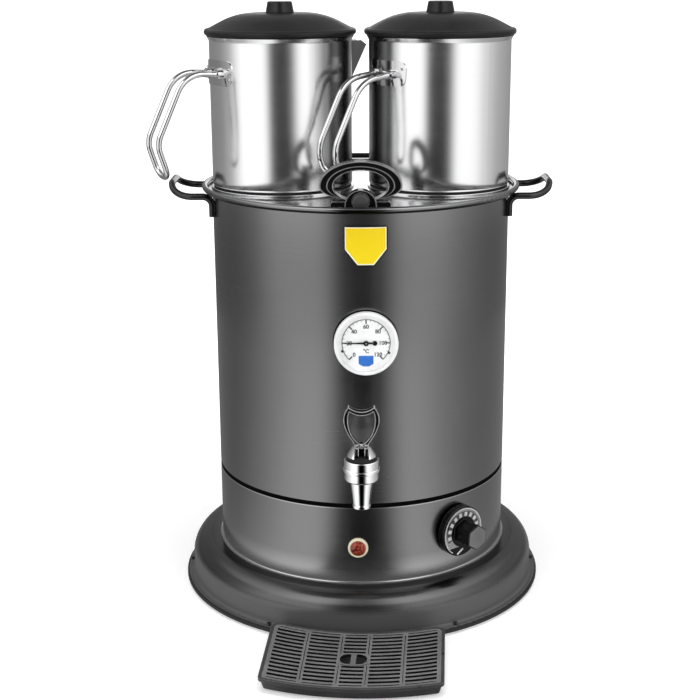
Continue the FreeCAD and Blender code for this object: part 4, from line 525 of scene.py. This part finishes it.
dark_steel_tone = (0.2, 0.2, 0.203)
bright_steel_tone = (0.74, 0.74, 0.745)
painted_light_tone = (0.42, 0.42, 0.42)
materials = {
    "dark_steel": round_brushed("dark_steel_sheet", dark_steel_tone, 0.23, 0.6, 0.06, 0.2),
    "dark_steel_housing": round_brushed("dark_steel_housing", dark_steel_tone, 0.23, 0.6, 0.06, 0.2),
    "dark_steel_foot": round_brushed("dark_steel_foot", (0.105, 0.105, 0.106), 0.24, 0.3, 0.06, 0.2),
    "bead_steel": polished_metal("bead_steel", (0.5, 0.5, 0.503), 0.12, 0.04),
    "plated_steel": round_brushed("plated_floor", (0.55, 0.55, 0.55), 0.4, 0.2),
    "fastener_steel": polished_metal("fastener_steel", (0.6, 0.6, 0.61), 0.25),
    "black_rubber": moulded_plastic(
        "black_rubber", (0.015, 0.015, 0.015), 0.75, 900.0, 0.4, specular=0.25),
    "black_seam": moulded_plastic(
        "black_seam", (0.002, 0.002, 0.002), 0.8, 900.0, 0.2, specular=0.03),
    "tank_steel": round_brushed("tank_steel", (0.6, 0.6, 0.6), 0.3, 0.4),
    "yellow_badge": badge_material(),
    "bright_steel": round_brushed("bright_steel", bright_steel_tone, 0.16, 0.75, 0.035, 0.2),
    "pot_steel": round_brushed("pot_steel", bright_steel_tone, 0.17, 0.75, 0.035, 0.2),
    "cover_steel": polished_metal("cover_steel", (0.68, 0.68, 0.685), 0.13, 0.03),
    # The light edge colours of the black plastics, the tray and the grate are mostly painted
    # highlights, with a little rubbing.
    "black_plastic": moulded_plastic(
        "black_plastic", (0.003, 0.003, 0.003), 0.25, 1500.0, 0.12, (0.14, 0.14, 0.14),
        specular=0.14, edge=0.0012, edge_lightening=0.8, rounded=0.0008),
    "handle_plastic": moulded_plastic(
        "handle_plastic", (0.005, 0.005, 0.005), 0.2, 1500.0, 0.06, (0.5, 0.5, 0.5),
        specular=0.25, edge=0.0017, edge_lightening=0.9, rounded=0.0012),
    "lever_plastic": moulded_plastic(
        "lever_plastic", (0.003, 0.003, 0.003), 0.14, 900.0, 0.03, (0.85, 0.85, 0.85),
        specular=0.2, edge=0.0018, edge_lightening=1.0, reach=0.998, rounded=0.001),
    "grey_plastic": moulded_plastic(
        "grey_plastic", (0.035, 0.035, 0.036), 0.4, 1500.0, 0.15, (0.12, 0.12, 0.12)),
    "black_paint": moulded_plastic(
        "black_paint", (0.004, 0.004, 0.004), 0.16, 700.0, 0.08, (0.02, 0.02, 0.02)),
    "white_enamel": moulded_plastic("white_enamel", (0.97, 0.97, 0.97), 0.3, 500.0, 0.05),
    "white_dial": moulded_plastic("white_dial", (0.99, 0.99, 0.99), 0.6, 1500.0, 0.05),
    "clear_glass": glass_material(),
    "dark_stem": polished_metal("dark_stem", (0.03, 0.028, 0.026), 0.3),
    "dark_screws": polished_metal("dark_screws", (0.06, 0.06, 0.06), 0.5),
    "plain_brass": polished_metal("plain_brass", (0.62, 0.42, 0.17), 0.3),
    "cream_plastic": moulded_plastic("cream_plastic", (0.9, 0.8, 0.58), 0.2, 900.0, 0.06),
    "red_lens": lens_material(),
    "silver_cap": moulded_plastic(
        "silver_cap", (0.12, 0.12, 0.122), 0.4, 1200.0, 0.08, (0.34, 0.34, 0.34),
        edge=0.001, edge_lightening=0.9),
    "scale_silver": polished_metal("scale_silver", (0.34, 0.34, 0.345), 0.3, 0.08),
    "brown_plastic": moulded_plastic("brown_plastic", (0.05, 0.022, 0.012), 0.5, 900.0, 0.2),
    "copper_tube": polished_metal("copper_tube", (0.72, 0.33, 0.18), 0.3),
    "element_steel": polished_metal("element_steel", (0.3, 0.28, 0.25), 0.45, 0.2),
    "wire_sleeve": moulded_plastic("wire_sleeve", (0.6, 0.58, 0.5), 0.7, 2500.0, 0.5),
    "tap_chrome": polished_metal("tap_chrome", (0.82, 0.82, 0.83), 0.06, 0.02),
    "valve_rubber": moulded_plastic("valve_rubber", (0.35, 0.08, 0.05), 0.7, 900.0, 0.3),
    "black_gloss_plastic": moulded_plastic(
        "black_gloss_plastic", (0.004, 0.004, 0.004), 0.13, 900.0, 0.03, (0.3, 0.3, 0.3),
        specular=0.28, edge=0.0006, edge_lightening=0.8, rounded=0.0008),
    "lid_knob_plastic": moulded_plastic(
        "lid_knob_plastic", (0.006, 0.006, 0.006), 0.26, 1200.0, 0.1, (0.06, 0.06, 0.06),
        specular=0.25, rounded=0.001),
    "tray_grey": moulded_plastic(
        "tray_grey", (0.042, 0.042, 0.043), 0.3, 1300.0, 0.2, (0.2, 0.2, 0.2),
        edge=0.0009, edge_lightening=0.8, rounded=0.0008),
    "grate_silver": moulded_plastic(
        "grate_silver", (0.15, 0.15, 0.152), 0.35, 1300.0, 0.2, (0.8, 0.8, 0.8),
        edge=0.0006, edge_lightening=0.7, reach=0.99),
    "pot_chrome": polished_metal("pot_chrome", (0.6, 0.6, 0.605), 0.08, 0.03),
    "lid_enamel": moulded_plastic(
        "lid_enamel", (0.014, 0.014, 0.0145), 0.32, 600.0, 0.08, specular=0.12),
}
add_bead_and_shade(materials["cover_steel"])
housing_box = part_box("lower_housing")
housing_bottom = housing_box[0][2]
housing_top = housing_box[1][2]
# Painted highlight: a light line along the housing's top edge, just under the black seam.
add_painted_highlight_line(materials["dark_steel_housing"], housing_top, wall_rim_width, painted_light_tone)
# Painted sheen: the housing's lowest band is lighter, standing for the bright floor mirrored in it.
soften_foot_of_wall(
    materials["dark_steel_housing"], housing_bottom, wall_dull_and_sheen_height, wall_rub_roughness,
    painted_light_tone)
soften_foot_of_wall(
    materials["dark_steel_foot"], foot_rub_bottom, foot_rub_height, foot_rub_roughness,
    (0.092, 0.092, 0.093), foot_rub_metal)
add_foot_shade(materials["dark_steel_foot"])
# Painted shade: the walls of the grate's slots are black.
add_painted_slot_shade(materials["grate_silver"])
add_painted_handle_highlights(materials["handle_plastic"])
# Painted shade: the pots' walls that face each other are darker.
paint_shade_on_facing_sides(materials["pot_steel"], facing_shade_start, facing_shade_end, (0.28, 0.28, 0.282))
black_ink = plain_print("black_ink", (0.01, 0.01, 0.01))
grey_ink = plain_print("grey_ink", (0.18, 0.18, 0.18))
dark_ink = plain_print("dark_ink", (0.05, 0.05, 0.05))
pale_ink = plain_print("pale_ink", (0.6, 0.6, 0.6))
white_ink = plain_print("white_ink", (0.9, 0.9, 0.9))
blue_ink = plain_print("blue_ink", (0.02, 0.16, 0.6), 0.3)


# Giving every CAD node its material

own_finish = {
    "base_ring": "dark_steel_foot",
    "lower_housing": "dark_steel_housing",
    "cover_handle": "handle_plastic",
    "tap_lever": "lever_plastic",
    "tap_stem": "dark_stem",
    "bottom_screws": "dark_screws",
    "cover_plate": "cover_steel",
    "pot_left_vessel": "pot_steel",
    "pot_right_vessel": "pot_steel",
    "thermostat_knob_scale": "scale_silver",
    "pot_left_lid_knob": "lid_knob_plastic",
    "pot_right_lid_knob": "lid_knob_plastic",
}


def slot_of(node):
    """The name of a CAD node's slot, without the number that Blender adds."""
    return node.data.materials[0].name.split(".")[0]


for name, node in nodes.items():
    slot_name = slot_of(node)
    node.data.materials.clear()
    node.data.materials.append(materials[own_finish.get(name, slot_name)])


# The tap's spring, copied as a piece with a mesh of its own; the real spring shortens as the valve
# lifts

spring = nodes["tap_spring"].copy()
spring.name = "tap_spring_coil"
spring.data = nodes["tap_spring"].data.copy()
bpy.context.scene.collection.objects.link(spring)
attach(spring, "urn")
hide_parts("tap_spring")
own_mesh(spring)


# Building the small added pieces

def wall_frame(angle, height, lift=0.0):
    """The place on the body's wall at an angle from the front: X along the wall, Y up, Z outwards."""
    turn = math.radians(angle)
    along = Vector((math.cos(turn), math.sin(turn), 0))
    out = Vector((math.sin(turn), -math.cos(turn), 0))
    origin = out * (body_radius + lift) + Vector((0, 0, height))
    columns = (along, Vector((0, 0, 1)), out, origin)
    place = Matrix.Identity(4)
    for i, column in enumerate(columns):
        for j in range(3):
            place[j][i] = column[j]
    return place


def finish_piece(name, work, material, body, smooth=False):
    """Turns the built faces into a piece that rides on a body."""
    mesh = bpy.data.meshes.new(name)
    work.to_mesh(mesh)
    work.free()
    mesh.materials.append(material)
    for face in mesh.polygons:
        face.use_smooth = smooth
    piece = bpy.data.objects.new(name, mesh)
    bpy.context.scene.collection.objects.link(piece)
    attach(piece, body)
    return piece


def printed(name, outlines, place, thickness, material, body):
    """Flat marks: each outline is a closed row of points in the plane of the place."""
    work = bmesh.new()
    for outline in outlines:
        bottom = [work.verts.new(place @ Vector((x, y, 0))) for x, y in outline]
        top = [work.verts.new(place @ Vector((x, y, thickness))) for x, y in outline]
        work.faces.new(top)
        work.faces.new(bottom[::-1])
        for i in range(len(outline)):
            j = (i + 1) % len(outline)
            work.faces.new((bottom[i], bottom[j], top[j], top[i]))
    return finish_piece(name, work, material, body)


def polar(radius, degrees):
    return (radius * math.cos(math.radians(degrees)), radius * math.sin(math.radians(degrees)))


def arc_band(inner, outer, start, end, step=3.0):
    """Short four-cornered pieces that make up a band along an arc."""
    count = max(1, round(abs(end - start) / step))
    turns = [start + (end - start) * i / count for i in range(count + 1)]
    return [
        [polar(inner, a), polar(outer, a), polar(outer, b), polar(inner, b)]
        for a, b in zip(turns[1:], turns[:-1])]


def tick(inner, outer, degrees, width):
    """A straight mark that points at the centre."""
    a = math.radians(degrees)
    across = (-math.sin(a) * width / 2, math.cos(a) * width / 2)
    first = polar(inner, degrees)
    last = polar(outer, degrees)
    return [
        (first[0] - across[0], first[1] - across[1]),
        (last[0] - across[0], last[1] - across[1]),
        (last[0] + across[0], last[1] + across[1]),
        (first[0] + across[0], first[1] + across[1])]


def disc(x, y, radius, count=16):
    return [
        (x + radius * math.cos(2 * math.pi * i / count), y + radius * math.sin(2 * math.pi * i / count))
        for i in range(count)]


def figures(name, words, place, thickness, material, body):
    """Printed figures, each centred on its own spot: text, x, y, height."""
    work = bmesh.new()
    for text, x, y, size in words:
        curve = bpy.data.curves.new(name + "_line", "FONT")
        curve.body = text
        curve.size = size / figure_height_share
        curve.align_x = "CENTER"
        curve.extrude = thickness / 2
        curve.offset = size * figure_thickening
        line = bpy.data.objects.new(name + "_line", curve)
        flat = bpy.data.meshes.new_from_object(line)
        flat.transform(place @ Matrix.Translation((x, y - size / 2, thickness / 2)))
        work.from_mesh(flat)
        bpy.data.meshes.remove(flat)
        bpy.data.objects.remove(line)
        bpy.data.curves.remove(curve)
    return finish_piece(name, work, material, body)


# Printing on the thermometer's dial

gauge_place = wall_frame(gauge_angle, gauge_height, gauge_face)
ink_thickness = 0.00008
scale_radius = 0.0249
scale_line = 0.001
long_mark = 0.0046
long_mark_width = 0.0013
long_mark_thickness = 0.00012
short_mark = 0.0019
short_mark_width = 0.0005
first_mark = 225.0
mark_step = 45.0
mark_count = 7
degrees_per_mark = 20
short_marks_per_step = 4
numerals_radius = 0.0174
numeral_height = 0.0041
unit_level = -0.0087

last_mark = first_mark - mark_step * (mark_count - 1)
scale_arc = arc_band(
    scale_radius - scale_line / 2, scale_radius + scale_line / 2, first_mark, last_mark)
for i in range((mark_count - 1) * short_marks_per_step + 1):
    if i % short_marks_per_step:
        turn = first_mark - i * mark_step / short_marks_per_step
        scale_arc.append(tick(scale_radius - short_mark, scale_radius, turn, short_mark_width))
printed("thermometer_scale", scale_arc, gauge_place, ink_thickness, grey_ink, "urn")

long_marks = [
    tick(scale_radius - long_mark, scale_radius, first_mark - i * mark_step, long_mark_width)
    for i in range(mark_count)]
printed("thermometer_long_marks", long_marks, gauge_place, long_mark_thickness, black_ink, "urn")

numerals = []
for i in range(mark_count):
    x, y = polar(numerals_radius, first_mark - i * mark_step)
    numerals.append((str(degrees_per_mark * i), x, y, numeral_height))
numerals.append(("°C", 0.0, unit_level, numeral_height))
figures("thermometer_numerals", numerals, gauge_place, ink_thickness, black_ink, "urn")

dots_radius = 0.026
dot_radius = 0.0014
dot_angles = (199.5, -24.5)
dots = [disc(*polar(dots_radius, angle), dot_radius) for angle in dot_angles]
printed("thermometer_dots", dots, gauge_place, ink_thickness, black_ink, "urn")

patch_half_width = 0.0077
patch_top = -0.0137
patch_corner = -0.0225
patch_foot = -0.0252
patch_foot_half_width = 0.003
patch = [
    (-patch_foot_half_width, patch_foot), (patch_foot_half_width, patch_foot),
    (patch_half_width, patch_corner), (patch_half_width, patch_top),
    (-patch_half_width, patch_top), (-patch_half_width, patch_corner)]
printed("thermometer_patch", [patch], gauge_place, ink_thickness, blue_ink, "urn")

hub_place = wall_frame(gauge_angle, gauge_height, pointer_hub_face)
rivet_radius = 0.0009
rivet_thickness = 0.0003
printed("thermometer_hub_rivet", [disc(0.0, 0.0, rivet_radius)], hub_place, rivet_thickness,
        materials["fastener_steel"], "thermometer_pointer")


# A black ring round the thermometer, a painted shadow where its case meets the wall, and the bead at
# the housing's foot

wall_gap = 0.00004
shadow_ring_inner_radius = gauge_radius - 0.002
shadow_ring_outer_radius = gauge_radius + 0.0009
shadow_ring_thickness = 0.0007
ring_rim_share = 0.6
bead_height = housing_bottom + 0.0014
bead_thickness = 0.0022


def join_rows(work, rows, closed=True):
    """Joins neighbouring rows of points with four-cornered faces, all the way round."""
    count = len(rows[0])
    after = rows[1:] + rows[:1] if closed else rows[1:]
    for first, second in zip(rows, after):
        for i in range(count):
            j = (i + 1) % count
            work.faces.new((first[i], first[j], second[j], second[i]))


def wrapped_ring(name, inner, outer, height, angle, thickness, material, body, count=72):
    """A flat ring laid on the curved wall round a fitting."""
    place = wall_frame(angle, height)
    work = bmesh.new()
    rows = []
    rim = thickness * ring_rim_share
    for radius, lift in ((inner, 0.0), (inner, thickness), (outer, rim), (outer, 0.0)):
        row = []
        for i in range(count):
            x, y = polar(radius, 360.0 * i / count)
            fall = body_radius - math.sqrt(body_radius ** 2 - x ** 2)
            row.append(work.verts.new(place @ Vector((x, y, lift + wall_gap - fall))))
        rows.append(row)
    join_rows(work, rows)
    bmesh.ops.recalc_face_normals(work, faces=work.faces)
    return finish_piece(name, work, material, body, smooth=True)


def level_circle(work, radius, height, count):
    return [work.verts.new((*polar(radius, 360.0 * i / count), height)) for i in range(count)]


def bead_round_wall(name, radius, height, thickness, material, body, count=180, sides=10):
    """A thin round bead laid level round the whole wall."""
    work = bmesh.new()
    rows = []
    for k in range(sides):
        turn = 2 * math.pi * k / sides
        row_radius = radius + thickness / 2 * math.cos(turn)
        row_height = height + thickness / 2 * math.sin(turn)
        rows.append(level_circle(work, row_radius, row_height, count))
    join_rows(work, rows)
    bmesh.ops.recalc_face_normals(work, faces=work.faces)
    return finish_piece(name, work, material, body, smooth=True)


bead_round_wall("housing_foot_bead", body_radius, bead_height, bead_thickness,
                materials["bead_steel"], "urn")
# Painted shadow: a black ring round the thermometer's case, on the wall.
wrapped_ring("thermometer_shadow_ring", shadow_ring_inner_radius, shadow_ring_outer_radius, gauge_height, gauge_angle,
             shadow_ring_thickness, materials["black_seam"], "urn")


# Marks on the thermostat's scale ring and skirt

def line_mark(start, end, width):
    """A straight mark between two points."""
    along = Vector(end) - Vector(start)
    side = Vector((-along.y, along.x)).normalized() * width / 2
    first = Vector(start)
    last = Vector(end)
    return [tuple(first - side), tuple(last - side), tuple(last + side), tuple(first + side)]


knob_place = wall_frame(knob_angle, knob_height, knob_face)
skirt_place = wall_frame(knob_angle, knob_height, knob_dark_face)
band_inner = 0.0171
band_outer = 0.0236
band_start = 202
scale_end = -22
knob_mark_inner = 0.0179
knob_mark_outer = 0.0226
knob_mark_width = 0.004
knob_mark_turns = (-9, 14, 37, 59, 81, 103, 125, 147, 168, 190)
knob_mark_thickness = 0.00016
edge_inner = 0.0258
edge_outer = 0.0269
edge_start = 235
off_mark_start = (0.0004, -0.0203)
off_mark_end = (-0.0082, -0.0251)
off_mark_width = 0.0022

band = arc_band(band_inner, band_outer, band_start, scale_end)
knob_marks = [
    tick(knob_mark_inner, knob_mark_outer, turn, knob_mark_width) for turn in knob_mark_turns]
edge_line = arc_band(edge_inner, edge_outer, edge_start, scale_end)
off_mark = line_mark(off_mark_start, off_mark_end, off_mark_width)
printed("knob_scale_band", band, knob_place, ink_thickness, dark_ink, "thermostat_knob")
printed("knob_scale_marks", knob_marks, knob_place, knob_mark_thickness, pale_ink,
        "thermostat_knob")
printed("knob_scale_edge", edge_line, knob_place, ink_thickness, pale_ink, "thermostat_knob")
printed("knob_off_mark", [off_mark], skirt_place, ink_thickness, white_ink, "thermostat_knob")


# The studio: floor, mirror surroundings and lamps

def stage_material(name, shine):
    """A surface that gives off light, whose colour is linked afterwards."""
    material = bpy.data.materials.new(name)
    material.use_nodes = True
    tree = material.node_tree
    tree.nodes.clear()
    light = add_node(tree, "ShaderNodeEmission")
    light.inputs["Strength"].default_value = shine
    out = add_node(tree, "ShaderNodeOutputMaterial")
    tree.links.new(light.outputs[0], out.inputs["Surface"])
    return material, tree, light


def only_in_reflections(piece):
    piece.visible_camera = False
    piece.visible_diffuse = False
    piece.visible_transmission = False
    piece.visible_volume_scatter = False
    piece.visible_shadow = False


def azimuth_ramp(tree, light, stops):
    """Brightness by direction round the vertical axis, from -180 degrees through the front to 180."""
    x, y, _ = own_axes(tree)
    turn = math_step(tree, "ARCTAN2", x, math_step(tree, "MULTIPLY", y, -1.0))
    share = math_step(tree, "MULTIPLY_ADD", turn, 1 / (2 * math.pi))
    share.node.inputs[2].default_value = 0.5
    ramp = add_node(tree, "ShaderNodeValToRGB")
    elements = ramp.color_ramp.elements
    while len(elements) > 1:
        elements.remove(elements[0])
    elements[0].position = (stops[0][0] + 180) / 360
    elements[0].color = (stops[0][1],) * 3 + (1,)
    for degrees, level in stops[1:]:
        element = elements.new((degrees + 180) / 360)
        element.color = (level,) * 3 + (1,)
    tree.links.new(share, ramp.inputs["Fac"])
    tree.links.new(ramp.outputs["Color"], light.inputs["Color"])


def both_sides(right_side):
    """Brightness stops from the front round to the back, with the same on the left."""
    left_side = [(-degrees, level) for degrees, level in reversed(right_side[1:])]
    return left_side + right_side


floor_light = [
    (-180, 0.25), (-140, 0.2), (-110, 0.2), (-93, 0.3), (-70, 0.56), (-49, 0.9), (-27, 1.0), (-19, 0.5),
    (-14, 0.05), (-8, 0.0), (8, 0.0), (15, 0.08), (22, 0.62), (30, 0.95), (45, 0.82), (61, 0.55),
    (83, 0.36), (105, 0.3), (140, 0.24), (180, 0.25)]
wall_light = [
    (-180, 1.0), (-170, 1.0), (-165, 0.22), (-140, 0.18), (-105, 0.22), (-84, 0.38), (-70, 0.8),
    (-62, 1.0), (-25, 1.0), (-17, 0.12), (-12, 0.02), (10, 0.02), (17, 0.14), (27, 0.9), (34, 1.0),
    (58, 0.92), (72, 0.62), (100, 0.36), (135, 0.26), (165, 0.24), (170, 1.0), (180, 1.0)]
high_light = both_sides([
    (0, 0.12), (12, 0.2), (22, 0.85), (30, 1.0), (45, 0.95), (75, 0.6), (100, 0.5), (140, 0.2),
    (180, 0.15)])
ceiling_light = both_sides([(0, 0.02), (30, 0.15), (60, 0.3), (120, 0.3), (180, 0.4)])
wall_radius = 1.35
wall_top = 1.5
low_wall_top = 0.22
high_wall_bottom = 0.95
ceiling_rim = 0.7
ceiling_middle = 0.01
floor_shine = 1.35
low_wall_shine = 0.95
wall_shine = 1.45
high_shine = 2.5
ceiling_shine = 0.8
surround_inner_radius = 0.2
surround_height = 0.0006


def ring_mesh(name, rows, count=96):
    """A surface of revolution from rows of radius and height."""
    work = bmesh.new()
    rings = [level_circle(work, radius, height, count) for radius, height in rows]
    join_rows(work, rings, closed=False)
    mesh = bpy.data.meshes.new(name)
    work.to_mesh(mesh)
    work.free()
    return mesh


def add_stage_piece(name, mesh, material):
    mesh.materials.append(material)
    piece = bpy.data.objects.new(name, mesh)
    bpy.context.scene.collection.objects.link(piece)
    return piece


def add_surround(name, rows, stops, shine):
    material, tree, light = stage_material(name, shine)
    azimuth_ramp(tree, light, stops)
    only_in_reflections(add_stage_piece(name, ring_mesh(name, rows), material))


add_surround(
    "studio_surround_floor", [(surround_inner_radius, surround_height), (wall_radius, surround_height)],
    floor_light, floor_shine)
add_surround(
    "studio_surround_low_wall", [(wall_radius, surround_height), (wall_radius, low_wall_top)],
    wall_light, low_wall_shine)
add_surround(
    "studio_surround_wall", [(wall_radius, low_wall_top), (wall_radius, high_wall_bottom)], wall_light,
    wall_shine)
add_surround(
    "studio_surround_high_wall",
    [(wall_radius, high_wall_bottom), (wall_radius, wall_top), (ceiling_rim, wall_top)], high_light,
    high_shine)
add_surround(
    "studio_surround_ceiling", [(ceiling_rim, wall_top), (ceiling_middle, wall_top)], ceiling_light,
    ceiling_shine)

floor_tone = 0.82
floor_near = 0.35
floor_far = 1.0
floor_lift_near = 0.36
floor_lift_far = 1.0
floor_half = 30.0
white = (1, 1, 1, 1)


def seen_directly(tree):
    """One where the camera looks at a surface, straight or through glass."""
    paths = add_node(tree, "ShaderNodeLightPath")
    straight = paths.outputs["Is Camera Ray"]
    through = paths.outputs["Is Transmission Ray"]
    return paths, math_step(tree, "MAXIMUM", straight, through)


floor_material, tree, shader = new_material("studio_floor", Roughness=0.9, Specular_IOR_Level=0.0)
shader.inputs["Base Color"].default_value = (floor_tone, floor_tone, floor_tone, 1)
shader.inputs["Emission Color"].default_value = white
paths, seen = seen_directly(tree)
lift = spread(
    tree, distance_from_axis(tree), floor_lift_near, floor_lift_far, floor_near, floor_far)
tree.links.new(math_step(tree, "MULTIPLY", seen, lift), shader.inputs["Emission Strength"])
floor_mesh = bpy.data.meshes.new("studio_floor")
floor_corners = [(a * floor_half, b * floor_half, 0) for a, b in ((-1, -1), (1, -1), (1, 1), (-1, 1))]
floor_mesh.from_pydata(floor_corners, [], [(0, 1, 2, 3)])
floor = add_stage_piece("studio_floor", floor_mesh, floor_material)

world = bpy.data.worlds.new("studio_world")
bpy.context.scene.world = world
world.use_nodes = True
tree = world.node_tree
tree.nodes.clear()
paths, seen = seen_directly(tree)
mirrored = math_step(tree, "MAXIMUM", seen, paths.outputs["Is Glossy Ray"])
ambient = 0.48
strength = math_step(tree, "MULTIPLY_ADD", mirrored, 1.0 - ambient)
strength.node.inputs[2].default_value = ambient
sky = add_node(tree, "ShaderNodeBackground")
sky.inputs["Color"].default_value = white
tree.links.new(strength, sky.inputs["Strength"])
world_out = add_node(tree, "ShaderNodeOutputWorld")
tree.links.new(sky.outputs[0], world_out.inputs["Surface"])


def softbox(name, place, target, width, height, power):
    """A soft lamp aimed at a point, which isn't itself mirrored in the steel."""
    lamp = bpy.data.lights.new(name, "AREA")
    lamp.shape = "RECTANGLE"
    lamp.size = width
    lamp.size_y = height
    lamp.energy = power
    lamp_object = bpy.data.objects.new(name, lamp)
    bpy.context.scene.collection.objects.link(lamp_object)
    lamp_object.location = place
    aim = Vector(target) - Vector(place)
    lamp_object.rotation_euler = aim.to_track_quat("-Z", "Y").to_euler()
    lamp_object.visible_glossy = False


urn_middle = (0.0, 0.0, 0.3)
side_place = (1.7, -1.5, 1.3)
side_width = 1.2
side_height = 1.6
side_power = 19.2
top_place = (0.0, -0.3, 2.4)
top_width = 1.4
top_power = 25.0
x, y, z = side_place
softbox("left_softbox", (-x, y, z), urn_middle, side_width, side_height, side_power)
softbox("right_softbox", (x, y, z), urn_middle, side_width, side_height, side_power)
softbox("top_softbox", top_place, urn_middle, top_width, top_width, top_power)


# The camera, at the photograph's place

camera_sensor_width = 36.0
camera_lens = 72.76
camera_shift = -0.016
camera_place = (0.0, -1.5746, 0.7128)
camera_tilt = 15.75
camera_roll = -0.19

camera_data = bpy.data.cameras.new("photo_camera")
camera_data.sensor_width = camera_sensor_width
camera_data.lens = camera_lens
camera_data.shift_x = camera_shift
camera = bpy.data.objects.new("photo_camera", camera_data)
bpy.context.scene.collection.objects.link(camera)
camera.location = camera_place
pitch = Matrix.Rotation(math.radians(90 - camera_tilt), 4, "X")
roll = Matrix.Rotation(math.radians(camera_roll), 4, "Z")
camera.rotation_euler = (pitch @ roll).to_euler()
camera_data.dof.use_dof = False
bpy.context.scene.camera = camera

bpy.context.scene.view_settings.view_transform = "Standard"
